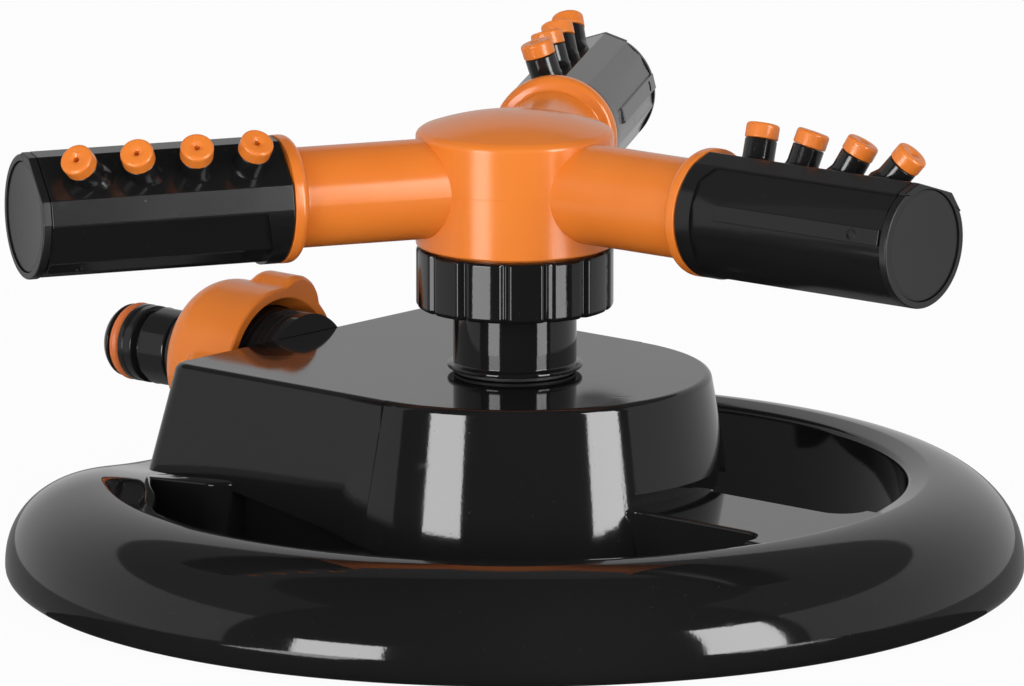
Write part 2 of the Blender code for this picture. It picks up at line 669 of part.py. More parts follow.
def make_coupling_nut(place, shoulder):
    """Lobed nut that draws the plug's flange against the stub."""
    bore = STUB_RADIUS + FIT
    steps = 3
    nose = []
    for i in range(steps + 1):
        share = i / steps
        fall = (NUT_RADIUS - NUT_FRONT_RADIUS) * (1 - sqrt(1 - share**2))
        nose.append((NUT_RADIUS - fall, NUT_END - NUT_DOME * (1 - share)))
    profile = nose[::-1] + [
        (NUT_RADIUS, NUT_START),
        (bore, NUT_START),
        (bore, shoulder),
        (PLUG_SHANK_RADIUS + FIT, shoulder),
        (PLUG_SHANK_RADIUS + FIT, NUT_END),
    ]
    nut = turned("coupling_nut", profile, INLET_STEPS, place)
    middle = NUT_RADIUS + NUT_LOBE_HEIGHT - NUT_LOBE_RADIUS
    lobe_end = shoulder - NUT_LOBE_SETBACK
    shape = [(0, lobe_end)]
    shape += arc((NUT_LOBE_RADIUS - NUT_LOBE_ROUND, lobe_end - NUT_LOBE_ROUND), NUT_LOBE_ROUND, pi / 2, 0, 3)
    shape += [(NUT_LOBE_RADIUS, NUT_START + CHAMFER), (0, NUT_START + CHAMFER)]
    for i in range(NUT_LOBES):
        turn = Matrix.Rotation(NUT_LOBE_TURN + 2 * pi * i / NUT_LOBES, 4, "Z")
        spot = place @ turn @ Matrix.Translation((middle, 0, 0))
        join(nut, turned(f"nut_lobe_{i + 1}", shape, NUT_LOBE_STEPS, spot, closed=False), solver="MANIFOLD")
    clear = rod("nut_bore", bore, NUT_START - WALL, shoulder - GAP / 3, INLET_STEPS, place)
    cut(nut, clear, solver="MANIFOLD")
    finish(nut, orange_gloss)


def make_collar():
    top = COLLAR_Z + COLLAR_HEIGHT
    bore = THREAD_RADIUS + FIT
    profile = [
        (COLLAR_RADIUS - CHAMFER, top),
        (COLLAR_RADIUS, top - CHAMFER),
        (COLLAR_RADIUS, COLLAR_Z + 2 * CHAMFER),
        (COLLAR_RADIUS - 2 * CHAMFER, COLLAR_Z),
        (NECK_RADIUS + FIT, COLLAR_Z),
        (NECK_RADIUS + FIT, COLLAR_Z + COLLAR_LIP),
        (bore, COLLAR_Z + COLLAR_LIP),
        (bore, top),
    ]
    collar = turned("collar_nut", profile, TOWER_STEPS)
    bm = bmesh.new()
    for i in range(COLLAR_GROOVES):
        angle = COLLAR_GROOVE_TURN + 2 * pi * i / COLLAR_GROOVES
        reach = COLLAR_RADIUS + COLLAR_GROOVE_RADIUS / 4
        bmesh.ops.create_cone(
            bm,
            cap_ends=True,
            segments=8,
            radius1=COLLAR_GROOVE_RADIUS,
            radius2=COLLAR_GROOVE_RADIUS,
            depth=2 * COLLAR_HEIGHT,
            matrix=Matrix.Translation((reach * cos(angle), reach * sin(angle), top)),
        )
    cut(collar, from_bmesh("grip_grooves", bm))
    low = COLLAR_Z + COLLAR_LIP + GAP
    high = low + THRUST_WASHER
    inner = NECK_RADIUS + FIT
    outer = RISER_FLANGE_RADIUS
    thrust = flat_ring("lower_thrust_washer", inner, outer, low, high, TOWER_STEPS, seal_rubber)
    low = RISER_FLANGE_Z + FLANGE_THICKNESS + GAP
    high = low + THRUST_WASHER
    inner = RISER_TOP_RADIUS + FIT
    seal = flat_ring("upper_seal_washer", inner, THREAD_RADIUS, low, high, TOWER_STEPS, seal_rubber)
    return [finish(collar, black_gloss), thrust, seal]


def arm_solid(name, azimuth):
    """Arm, flange and the spigot that the nozzle tube turns on."""
    spigot = TUBE_BORE - FIT
    groove = spigot - 2 * O_RING_HALF
    end = TUBE_START + SOCKET_LENGTH
    snap = end - SNAP_FROM_END
    seal = TUBE_START + O_RING_FROM_START
    flange_end = TUBE_START - GAP
    profile = [
        (0, end),
        (spigot, end),
        (spigot, snap + SNAP_BEAD + GAP),
        (spigot - SNAP_BEAD, snap + SNAP_BEAD + GAP),
        (spigot - SNAP_BEAD, snap - SNAP_BEAD - GAP),
        (spigot, snap - SNAP_BEAD - GAP),
        (spigot, seal + O_RING_HALF + GAP),
        (groove, seal + O_RING_HALF + GAP),
        (groove, seal - O_RING_HALF - GAP),
        (spigot, seal - O_RING_HALF - GAP),
        (spigot, flange_end),
        (ARM_FLANGE_RADIUS, flange_end),
        (ARM_FLANGE_RADIUS, ARM_FLANGE_START + CHAMFER),
        (ARM_FLANGE_RADIUS - CHAMFER, ARM_FLANGE_START),
        (ARM_RADIUS, ARM_FLANGE_START),
        (ARM_RADIUS, HUB_RADIUS / 2),
        (0, HUB_RADIUS / 2),
    ]
    return turned(name, profile, TUBE_STEPS, along(azimuth, ARM_Z), closed=False)


def make_head():
    spigot_low = RISER_FLANGE_Z + FLANGE_THICKNESS + THRUST_WASHER + 2 * GAP
    dome_start = HUB_RADIUS - HUB_EDGE
    bend = (dome_start**2 + HUB_DOME**2) / (2 * HUB_DOME)
    steps = 5
    dome = []
    for i in range(steps + 1):
        radius = dome_start * i / steps
        dome.append((radius, HUB_RIM_Z + HUB_DOME - bend + sqrt(bend**2 - radius**2)))
    profile = dome + [
        (HUB_RADIUS - HUB_EDGE / 4, HUB_RIM_Z - HUB_EDGE / 3),
        (HUB_RADIUS, HUB_RIM_Z - HUB_EDGE),
        (HUB_RADIUS, HUB_Z + CHAMFER),
        (HUB_RADIUS - CHAMFER, HUB_Z),
        (THREAD_RADIUS, HUB_Z),
        (THREAD_RADIUS, spigot_low),
        (0, spigot_low),
    ]
    head = turned("rotor_head", profile, TOWER_STEPS, closed=False)
    for side, azimuth in ARMS.items():
        join(head, arm_solid(f"arm_{side}", azimuth), solver="MANIFOLD")
    chamber = HUB_RADIUS - HUB_WALL
    inside = [
        (0, HUB_RIM_Z - HUB_WALL),
        (chamber, HUB_RIM_Z - HUB_WALL),
        (chamber, RISER_TOP_Z + 2 * GAP),
        (RISER_TOP_RADIUS + FIT, RISER_TOP_Z - HUB_WALL),
        (RISER_TOP_RADIUS + FIT, spigot_low - WALL),
        (0, spigot_low - WALL),
    ]
    cut(head, turned("hub_chamber", inside, TOWER_STEPS, closed=False), solver="MANIFOLD")
    end = TUBE_START + SOCKET_LENGTH + WALL
    for side, azimuth in ARMS.items():
        bore = rod(f"arm_bore_{side}", ARM_BORE, HUB_RADIUS / 2, end, TIP_STEPS, along(azimuth, ARM_Z))
        cut(head, bore, solver="MANIFOLD")
    return finish(head, orange_gloss)


def tube_outline(radius):
    """Section of a nozzle tube: a facet, a flat on each side of it, and the rest round."""
    corners = [-SECOND_FACET, -FACET_HALF, FACET_HALF, SECOND_FACET]
    flats = [(TUBE_RADIUS * cos(angle), TUBE_RADIUS * sin(angle)) for angle in corners]
    inner = 1 if radius == TUBE_RADIUS else 0
    rounded = arc((0, 0), radius, SECOND_FACET, 2 * pi - SECOND_FACET, TUBE_STEPS - 8)
    return flats + (rounded[1:-1] if inner else rounded)


def panel_cutter(name, place):
    """Takes the round part of a tube down by a step, past a collar with rounded corners."""
    inner = arc((0, 0), TUBE_RADIUS - PANEL_STEP, PANEL_ANGLE, 2 * pi - PANEL_ANGLE, TUBE_STEPS - 8)
    outer = arc((0, 0), TUBE_RADIUS + WALL, 2 * pi - PANEL_ANGLE, PANEL_ANGLE, TUBE_STEPS - 8)
    return prism(name, inner + outer, TUBE_START + PANEL_START, TUBE_END + WALL, place)


def stem_frame(place, number):
    """Frame whose Z runs out along a stem, with its origin on the facet."""
    facet = TUBE_RADIUS * cos(FACET_HALF)
    tilt = Matrix.Rotation(pi / 2 - FAN[number], 4, "Y")
    return place @ Matrix.Translation((facet, 0, NOZZLE_FIRST + number * NOZZLE_PITCH)) @ tilt


def make_nozzle_tube(side, azimuth, turn):
    place = along(azimuth, ARM_Z) @ Matrix.Rotation(-turn, 4, "Z")
    tube = prism(f"nozzle_tube_{side}", tube_outline(TUBE_RADIUS), TUBE_START, TUBE_END, place)
    cut(tube, panel_cutter(f"panel_{side}", place))
    for sign in (1, -1):
        rib = box(
            f"rib_{side}_{'a' if sign > 0 else 'b'}",
            (TUBE_RADIUS - RIB_ROOT, -RIB_WIDTH / 2, TUBE_START + RIB_START),
            (TUBE_RADIUS, RIB_WIDTH / 2, TUBE_END - PANEL_START),
            place @ Matrix.Rotation(sign * RIB_ANGLE, 4, "Z"),
        )
        join(tube, rib)
    frames = [stem_frame(place, number) for number in range(len(FAN))]
    for number, frame in enumerate(frames):
        join(tube, rod(f"stem_{side}_{number + 1}", STEM_RADIUS, -TUBE_WALL, STEM_HEIGHT, TIP_STEPS, frame))
    snap = TUBE_START + SOCKET_LENGTH - SNAP_FROM_END
    bead = TUBE_BORE - SNAP_BEAD
    inside = [
        (0, TUBE_END + DEEP),
        (TUBE_BORE, TUBE_END + DEEP),
        (TUBE_BORE, snap + SNAP_BEAD),
        (bead, snap + SNAP_BEAD / 3),
        (bead, snap - SNAP_BEAD / 3),
        (TUBE_BORE, snap - SNAP_BEAD),
        (TUBE_BORE, TUBE_START - WALL),
        (0, TUBE_START - WALL),
    ]
    cut(tube, turned(f"tube_bore_{side}", inside, TUBE_STEPS, place, closed=False))
    low, high = -2 * TUBE_WALL, STEM_HEIGHT + TIP_HEIGHT
    for number, frame in enumerate(frames):
        cut(tube, rod(f"stem_bore_{side}_{number + 1}", STEM_BORE, low, high, TIP_STEPS, frame))
    finish(tube, black_gloss)
    made = [tube, make_end_cap(side, place)]
    made += [make_tip(side, number, frame, STEM_HEIGHT + GAP) for number, frame in enumerate(frames)]
    seal = TUBE_START + O_RING_FROM_START
    profile = ring_profile(TUBE_BORE - GAP - O_RING_HALF, seal, O_RING_HALF)
    made.append(finish(turned(f"arm_o_ring_{side}", profile, TUBE_STEPS, place), seal_rubber))
    return made


def make_end_cap(side, place):
    start = TUBE_END + GAP
    end = start + CAP_THICKNESS
    plug = TUBE_BORE - GAP
    cap = prism(f"end_cap_{side}", tube_outline(TUBE_RADIUS - PANEL_STEP), start, end, place)
    join(cap, rod(f"cap_plug_{side}", plug, start - CAP_PLUG, start + CAP_THICKNESS / 2, TUBE_STEPS, place))
    hollow = plug - CAP_PLUG_WALL
    cut(
        cap,
        rod(f"cap_inset_{side}", CAP_INSET_RADIUS, end - PANEL_STEP, end + WALL, TUBE_STEPS, place),
        rod(f"cap_hollow_{side}", hollow, start - 2 * CAP_PLUG, start - CAP_THICKNESS, TUBE_STEPS, place),
    )
    return finish(cap, black_gloss)


def make_tip(side, number, frame, low):
    """Nozzle cap with a spigot in the stem and a fine bore."""
    high = low + TIP_HEIGHT
    spigot = STEM_BORE - GAP
    profile = [
        (TIP_RADIUS - CHAMFER, high),
        (TIP_RADIUS, high - CHAMFER),
        (TIP_RADIUS, low),
        (spigot, low),
        (spigot, low - TIP_SPIGOT),
        (TIP_BORE, low - TIP_SPIGOT),
        (TIP_BORE, high),
    ]
    return finish(turned(f"nozzle_tip_{side}_{number + 1}", profile, TIP_STEPS, frame), orange_gloss)


def carried_by(name, place, things):
    """Parents a moving body's pieces to an empty on its joint's axis."""
    empty = bpy.data.objects.new(name, None)
    parts.objects.link(empty)
    empty.matrix_world = place
    bpy.context.view_layer.update()
    for thing in things:
        kept = thing.matrix_world.copy()
        thing.parent = empty
        thing.matrix_parent_inverse = empty.matrix_world.inverted()
        thing.matrix_world = kept


clear_scene()
parts = collection("rotary_sprinkler")
cutters = collection("cutters")
black_gloss = material("black_gloss_plastic", BLACK, 0.12)
orange_gloss = material("orange_gloss_plastic", ORANGE, 0.28)
seal_rubber = material("seal_rubber", RUBBER, 0.6)

make_base()
make_riser()
make_elbow()
make_inlet()
turning = [make_head(), *make_collar()]
head_axis = Matrix.Translation((0, 0, ARM_Z))
carried_by("head_axis", head_axis, turning)
for side, azimuth in ARMS.items():
    swivelling = make_nozzle_tube(side, azimuth, TURNED[side])
    carried_by(f"{side}_arm_axis", along(azimuth, ARM_Z), swivelling)
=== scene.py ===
from math import asin, atan2, ceil, cos, pi, radians, sin, sqrt

import bmesh
import bpy
from mathutils import Matrix, Vector


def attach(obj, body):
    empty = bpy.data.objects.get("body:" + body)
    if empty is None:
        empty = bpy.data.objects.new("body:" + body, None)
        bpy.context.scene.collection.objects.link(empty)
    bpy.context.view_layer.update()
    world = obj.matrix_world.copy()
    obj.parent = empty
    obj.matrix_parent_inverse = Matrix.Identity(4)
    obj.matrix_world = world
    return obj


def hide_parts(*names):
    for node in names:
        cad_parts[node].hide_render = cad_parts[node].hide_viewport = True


# Looks of the garden sprinkler: fine pieces over the CAD frame, finishes, studio and camera.
# The pieces' settings are in mm, the studio's in m.

mm = 0.001
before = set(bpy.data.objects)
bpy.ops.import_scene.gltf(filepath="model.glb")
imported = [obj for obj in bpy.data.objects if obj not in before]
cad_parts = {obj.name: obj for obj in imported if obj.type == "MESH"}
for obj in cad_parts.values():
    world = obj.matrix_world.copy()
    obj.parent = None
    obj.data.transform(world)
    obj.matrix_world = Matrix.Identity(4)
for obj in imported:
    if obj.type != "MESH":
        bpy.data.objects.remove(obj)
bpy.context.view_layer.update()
print("frame loaded:", len(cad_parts), "nodes")


# ---- small modelling helpers

draft = {"tiny": 1e-6, "cornerReach": 0.48, "cornerTurn": 14, "edgeSegments": 4, "sharp": 32}


def deselectAll():
    if bpy.context.object and bpy.context.object.mode != "OBJECT":
        bpy.ops.object.mode_set(mode="OBJECT")
    bpy.ops.object.select_all(action="DESELECT")


def nameNew(name):
    piece = bpy.context.object
    piece.name = name
    piece.data.name = name
    return piece


def activate(piece):
    deselectAll()
    piece.select_set(True)
    bpy.context.view_layer.objects.active = piece


def startEdit(piece):
    activate(piece)
    bpy.ops.object.mode_set(mode="EDIT")
    bpy.ops.mesh.select_all(action="DESELECT")


def endEdit():
    bpy.ops.object.mode_set(mode="OBJECT")


def selectAll():
    bpy.ops.mesh.select_all(action="SELECT")


def matchNormals():
    selectAll()
    bpy.ops.mesh.normals_make_consistent(inside=False)


def cutAcross(middle, normal):
    selectAll()
    bpy.ops.mesh.bisect(plane_co=middle, plane_no=normal)


def bevelEdges(piece, test, size, segments):
    # rounds the edges whose two ends pass the test
    bpy.ops.mesh.select_mode(type="EDGE")
    bpy.ops.mesh.select_all(action="DESELECT")
    cage = bmesh.from_edit_mesh(piece.data)
    for edge in cage.edges:
        edge.select_set(test(edge.verts[0].co, edge.verts[1].co))
    bmesh.update_edit_mesh(piece.data)
    bpy.ops.mesh.bevel(offset=size * mm, segments=segments, affect="EDGES")


def moveVerts(piece, rule):
    # rule gives a vertex its new place
    for vert in piece.data.vertices:
        vert.co = rule(vert.co)
    piece.data.update()


def radiusOf(spot):
    # distance from Z, in mm
    return sqrt(spot.x ** 2 + spot.y ** 2) / mm


def widened(spot, share):
    return Vector((spot.x * share, spot.y * share, spot.z))


def placeMesh(piece, place):
    piece.data.transform(place)
    piece.data.update()
    return piece


def arcPoints(middle, radius, start, end, count):
    angles = [start + (end - start) * i / count for i in range(count + 1)]
    return [(middle[0] + radius * cos(t), middle[1] + radius * sin(t)) for t in angles]


def axisFrame(azimuth, height):
    # Z runs outward at an azimuth, X points up
    outward = Vector((cos(azimuth), sin(azimuth), 0))
    up = Vector((0, 0, 1))
    turn = Matrix((up, outward.cross(up), outward)).transposed().to_4x4()
    return Matrix.Translation((0, 0, height * mm)) @ turn


def spinAbout(angle):
    return Matrix.Rotation(angle, 4, "Z")


def roundCorners(points, closed=True, finest=draft["cornerTurn"]):
    # points are (x, y) or (x, y, corner radius), and each rounded corner becomes an arc
    # whose parts turn by no more than finest degrees
    made = []
    count = len(points)
    for i, point in enumerate(points):
        here = Vector(point[:2])
        size = point[2] if len(point) > 2 else 0
        if size == 0 or (not closed and i in (0, count - 1)):
            made.append(here)
            continue
        back = Vector(points[i - 1][:2]) - here
        ahead = Vector(points[(i + 1) % count][:2]) - here
        opening = back.angle(ahead)
        most = draft["cornerReach"]
        reach = min(size / sin(opening / 2) * cos(opening / 2), back.length * most, ahead.length * most)
        radius = reach * sin(opening / 2) / cos(opening / 2)
        middle = here + (back.normalized() + ahead.normalized()).normalized() * radius / sin(opening / 2)
        start = here + back.normalized() * reach - middle
        turn = start.angle_signed(here + ahead.normalized() * reach - middle)
        parts = max(2, ceil(abs(turn) / radians(finest)))
        for k in range(parts + 1):
            angle = -turn * k / parts
            made.append(middle + Vector((start.x * cos(angle) - start.y * sin(angle),
                                         start.x * sin(angle) + start.y * cos(angle))))
    return made


def drawLine(name, points, closed):
    # a plane merged to one point, then extruded from point to point
    deselectAll()
    bpy.ops.mesh.primitive_plane_add(size=mm)
    line = nameNew(name)
    bpy.ops.object.mode_set(mode="EDIT")
    bpy.ops.mesh.select_mode(type="VERT")
    bpy.ops.mesh.merge(type="CENTER")
    bpy.ops.transform.translate(value=points[0])
    for here, after in zip(points, points[1:]):
        bpy.ops.mesh.extrude_region_move(TRANSFORM_OT_translate={"value": after - here})
    selectAll()
    if closed:
        first, last = points[0], points[-1]
        bpy.ops.mesh.select_all(action="DESELECT")
        cage = bmesh.from_edit_mesh(line.data)
        for vert in cage.verts:
            vert.select_set(min((vert.co - first).length, (vert.co - last).length) < draft["tiny"])
        bmesh.update_edit_mesh(line.data)
        bpy.ops.mesh.edge_face_add()
        selectAll()
    return line


def turnedPiece(name, profile, steps, place=None, closed=True):
    # profile of (radius, height[, corner radius]) in mm, spun about Z
    flat = roundCorners(profile, closed)
    points = [Vector((p.x * mm, 0, p.y * mm)) for p in flat]
    piece = drawLine(name, points, closed)
    bpy.ops.mesh.spin(steps=steps, angle=2 * pi, center=(0, 0, 0), axis=(0, 0, 1))
    selectAll()
    bpy.ops.mesh.remove_doubles(threshold=2 * draft["tiny"])
    matchNormals()
    endEdit()
    return placeMesh(piece, place) if place else piece


def slabPiece(name, outline, low, high, topRound=0):
    # flat outline in mm, filled and extruded
    points = [Vector((p[0] * mm, p[1] * mm, low * mm)) for p in outline]
    piece = drawLine(name, points, True)
    bpy.ops.mesh.edge_face_add()
    bpy.ops.mesh.extrude_region_move(TRANSFORM_OT_translate={"value": (0, 0, (high - low) * mm)})
    matchNormals()
    if topRound:
        level = high * mm - draft["tiny"]
        bevelEdges(piece, lambda a, b: min(a.z, b.z) > level, topRound, draft["edgeSegments"])
    endEdit()
    return piece


def cubePiece(name, low, high):
    deselectAll()
    middle = [(a + b) / 2 * mm for a, b in zip(low, high)]
    size = [(b - a) * mm for a, b in zip(low, high)]
    bpy.ops.mesh.primitive_cube_add(size=1, location=middle, scale=size)
    piece = nameNew(name)
    bpy.ops.object.transform_apply(location=True, rotation=False, scale=True)
    return piece


def rodPiece(name, radius, low, high, steps, place=None):
    deselectAll()
    bpy.ops.mesh.primitive_cylinder_add(
        vertices=steps, radius=radius * mm, depth=(high - low) * mm, location=(0, 0, (low + high) / 2 * mm)
    )
    piece = nameNew(name)
    bpy.ops.object.transform_apply(location=True, rotation=False, scale=False)
    return placeMesh(piece, place) if place else piece


def combine(target, others, operation="UNION"):
    for other in others:
        activate(target)
        step = target.modifiers.new("combine", "BOOLEAN")
        step.operation = operation
        step.solver = "MANIFOLD"
        step.object = other
        bpy.ops.object.modifier_apply(modifier=step.name)
        bpy.data.objects.remove(other)
    return target


def carve(target, others):
    return combine(target, others, "DIFFERENCE")


def copyPiece(piece, name, place):
    made = piece.copy()
    made.data = piece.data.copy()
    made.name = name
    made.data.name = name
    bpy.context.scene.collection.objects.link(made)
    return placeMesh(made, place)


def finishPiece(piece, surface, body, node, sharp=draft["sharp"]):
    startEdit(piece)
    selectAll()
    bpy.ops.mesh.remove_doubles(threshold=draft["tiny"])
    endEdit()
    bpy.ops.object.shade_smooth_by_angle(angle=radians(sharp))
    even = piece.modifiers.new("evenNormals", "WEIGHTED_NORMAL")
    even.keep_sharp = True
    bpy.ops.object.modifier_apply(modifier=even.name)
    piece.data.materials.clear()
    piece.data.materials.append(surface)
    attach(piece, body)
    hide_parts(node)


# ---- finishes

class Signal:
    # a socket that takes part in sums
    def __init__(self, sheet, socket):
        self.sheet = sheet
        self.socket = socket

    def __add__(self, other):
        return self.sheet.sum("ADD", self, other)

    def __radd__(self, other):
        return self.sheet.sum("ADD", other, self)

    def __sub__(self, other):
        return self.sheet.sum("SUBTRACT", self, other)

    def __rsub__(self, other):
        return self.sheet.sum("SUBTRACT", other, self)

    def __mul__(self, other):
        return self.sheet.sum("MULTIPLY", self, other)

    def above(self, edge, soft):
        # 0 below the edge, 1 past it, with a soft step between
        return self.sheet.node(
            "ShaderNodeMapRange", {"interpolation_type": "SMOOTHSTEP"},
            {"Value": self, "From Min": edge, "From Max": edge + soft},
        )


class Sheet:
    # the nodes of one material, or of the world
    def __init__(self, name, owner=None):
        self.owner = owner or bpy.data.materials.new(name)
        self.owner.use_nodes = True
        self.tree = self.owner.node_tree
        self.tree.nodes.clear()
        self.spot = self.node("ShaderNodeTexCoord", out="Object")

    def node(self, kind, settings=None, sockets=None, out=0):
        made = self.tree.nodes.new(kind)
        for key, value in (settings or {}).items():
            setattr(made, key, value)
        for key, value in (sockets or {}).items():
            if isinstance(value, Signal):
                self.tree.links.new(value.socket, made.inputs[key])
            else:
                made.inputs[key].default_value = value
        return Signal(self, made.outputs[out])

    def sum(self, operation, first, second):
        return self.node("ShaderNodeMath", {"operation": operation}, {0: first, 1: second})

    def noise(self, scale, detail=2, stretch=None, turn=(0, 0, 0)):
        spot = self.spot
        if stretch:
            spot = self.node("ShaderNodeMapping", None, {"Vector": spot, "Scale": stretch, "Rotation": turn})
        return self.node("ShaderNodeTexNoise", None, {"Vector": spot, "Scale": scale, "Detail": detail})

    def blend(self, share, first, second):
        # sockets 6, 7 and 2 are the node's colours
        return self.node("ShaderNodeMix", {"data_type": "RGBA"}, {0: share, 6: first, 7: second}, out=2)

    def bump(self, height, distance, under=None):
        sockets = {"Height": height, "Distance": distance, "Strength": 1.0}
        if under:
            sockets["Normal"] = under
        return self.node("ShaderNodeBump", None, sockets)

    def end(self, shader, kind="ShaderNodeOutputMaterial"):
        self.tree.links.new(shader.socket, self.tree.nodes.new(kind).inputs["Surface"])
        return self.owner

    def close(self, colour, roughness, normal, ior):
        sockets = {"Base Color": colour, "Roughness": roughness, "Normal": normal, "IOR": ior}
        return self.end(self.node("ShaderNodeBsdfPrincipled", None, sockets))


blackLook = {
    "fresh": (0.0085, 0.0085, 0.009, 1), "worn": (0.0115, 0.0112, 0.011, 1), "dusty": (0.12, 0.115, 0.11, 1),
    "ior": 1.45, "haze": 38, "hazeRough": 0.07, "cloud": 9, "cloudStep": (0.35, 0.4),
    "hair": 240, "hairStretch": (0.12, 1, 1), "hairTurn": (0.2, 0.1, 0.7), "hairStep": (0.66, 0.06),
    "hairRough": 0.05, "hairDepth": 0.004, "dust": 900, "dustStep": (0.74, 0.04), "dustShare": 0.06,
    "dustRough": 0.06, "flow": 26, "grain": 1500, "grainDepth": 0.004,
}


def blackFinish(name, rough, wave):
    # moulded plastic: faint flow waves, hazy patches, hairline scratches, dust
    look = blackLook
    sheet = Sheet(name)
    haze = sheet.noise(look["haze"], detail=4)
    cloud = sheet.noise(look["cloud"])
    hair = sheet.noise(look["hair"], stretch=look["hairStretch"], turn=look["hairTurn"])
    hairs = hair.above(*look["hairStep"])
    dust = sheet.noise(look["dust"], detail=1).above(*look["dustStep"])
    colour = sheet.blend(cloud.above(*look["cloudStep"]), look["fresh"], look["worn"])
    colour = sheet.blend(dust * look["dustShare"], colour, look["dusty"])
    roughness = rough + (haze - 0.5) * look["hazeRough"] + hairs * look["hairRough"]
    roughness = roughness + dust * look["dustRough"]
    flow = sheet.bump(sheet.noise(look["flow"], detail=1), wave * mm)
    grain = sheet.bump(sheet.noise(look["grain"], detail=1), look["grainDepth"] * mm, under=flow)
    scratched = sheet.bump(1 - hairs, look["hairDepth"] * mm, under=grain)
    return sheet.close(colour, roughness, scratched, look["ior"])


orangeLook = {
    "fresh": (0.8, 0.218, 0.029, 1), "deep": (0.75, 0.19, 0.024, 1), "scuffed": (0.86, 0.33, 0.12, 1),
    "ior": 1.46, "drift": 30, "driftStep": (0.3, 0.4), "scuff": 190, "scuffStretch": (1, 0.2, 1),
    "scuffTurn": (0.5, 0.3, 0.2), "scuffStep": (0.7, 0.14), "scuffShare": 0.1, "scuffRough": 0.05,
    "haze": 70, "hazeRough": 0.1, "flow": 45, "flowDepth": 0.02, "grain": 1300, "grainDepth": 0.008,
}


def orangeFinish(name, rough):
    # satin coloured plastic: slow colour drift, fine grain, a few scuffs
    look = orangeLook
    sheet = Sheet(name)
    drift = sheet.noise(look["drift"], detail=3)
    scuff = sheet.noise(look["scuff"], detail=3, stretch=look["scuffStretch"], turn=look["scuffTurn"])
    scuff = scuff.above(*look["scuffStep"])
    colour = sheet.blend(drift.above(*look["driftStep"]), look["fresh"], look["deep"])
    colour = sheet.blend(scuff * look["scuffShare"], colour, look["scuffed"])
    haze = sheet.noise(look["haze"]) - 0.5
    roughness = rough + haze * look["hazeRough"] + scuff * look["scuffRough"]
    flow = sheet.bump(sheet.noise(look["flow"], detail=1), look["flowDepth"] * mm)
    grain = sheet.bump(sheet.noise(look["grain"]), look["grainDepth"] * mm, under=flow)
    return sheet.close(colour, roughness, grain, look["ior"])


rubberLook = {
    "ior": 1.5, "bloom": 120, "bloomStep": (0.4, 0.35), "haze": 200, "hazeRough": 0.16,
    "grain": 1700, "grainDepth": 0.015,
}


def rubberFinish(name, light, dark, rough):
    # dull rubber with a pale bloom in patches
    look = rubberLook
    sheet = Sheet(name)
    bloom = sheet.noise(look["bloom"], detail=4).above(*look["bloomStep"])
    colour = sheet.blend(bloom, dark, light)
    roughness = rough + (sheet.noise(look["haze"]) - 0.5) * look["hazeRough"]
    grain = sheet.bump(sheet.noise(look["grain"]), look["grainDepth"] * mm)
    return sheet.close(colour, roughness, grain, look["ior"])


blackPlastic = blackFinish("blackPlastic", rough=0.065, wave=0.03)
tubePlastic = blackFinish("tubePlastic", rough=0.17, wave=0.02)
capPlastic = blackFinish("capPlastic", rough=0.34, wave=0.01)
orangePlastic = orangeFinish("orangePlastic", rough=0.2)
tipPlastic = orangeFinish("tipPlastic", rough=0.27)
orangeRubber = rubberFinish("orangeRubber", (0.74, 0.19, 0.045, 1), (0.66, 0.15, 0.03, 1), rough=0.42)
sealRubber = rubberFinish("sealRubber", (0.03, 0.03, 0.03, 1), (0.014, 0.014, 0.015, 1), rough=0.55)
print("finishes made")


# ---- base moulding, drawn along the inlet's direction and then turned to it

base = {
    "ringRadius": 112.5, "ringWidest": 3, "ringTuck": 3.2, "crownRadius": 91, "crown": 23.2,
    "innerRadius": 86.3, "rimDrop": 1.2, "rimRound": 1.7, "rimFoot": 1.2, "fullOut": 1.8, "fullUp": 2.2,
    "wall": 2.5, "deep": 40, "ringSteps": 224, "drumSteps": 192,
    "plate": 45.6, "drumTop": 43.2, "drumLow": 47.5, "seam": 21, "edge": 1.6, "skirt": 2,
    "skirtStart": radians(97.5), "tongueLength": 63.2, "tongueLean": 6.3, "tongueTop": 43.7,
    "tongueLow": 46.2, "tongueCorner": 4, "sideStart": 12.6, "sideEnd": 20, "recess": 4,
    "spoke": 23.1, "spokeHalf": 13, "ringFillet": 6, "footFillet": 2.5,
    "bridgeStart": 42, "bridgeHalf": 50, "bridgeGap": 23.5, "bridge": 21.8, "bridgeCorner": 6,
    "lip": 26, "lipDepth": 1.7, "lipReach": 60, "lipStart": radians(164), "lipEnd": radians(232),
    "saddle": 9, "saddleReach": radians(50), "saddleFrom": 66, "saddleFull": 80, "level": 60,
    "shelf": 6.2, "shelfStart": radians(51), "shelfEnd": radians(70),
    "slabRound": 0.7, "slabCuts": ((0, range(62, 90, 2)), (1, range(26, 50, 2))),
    "riserHole": 10.4, "pipeHole": 6.3, "pipeStart": 54.3, "pipeEnd": 64.3,
    "pocket": 13.5, "pocketStart": 61.5, "pocketEnd": 80,
}
inlet = {"azimuth": radians(138.5), "height": 36.8}
inletFrame = axisFrame(inlet["azimuth"], inlet["height"])
straightInlet = axisFrame(0, inlet["height"])


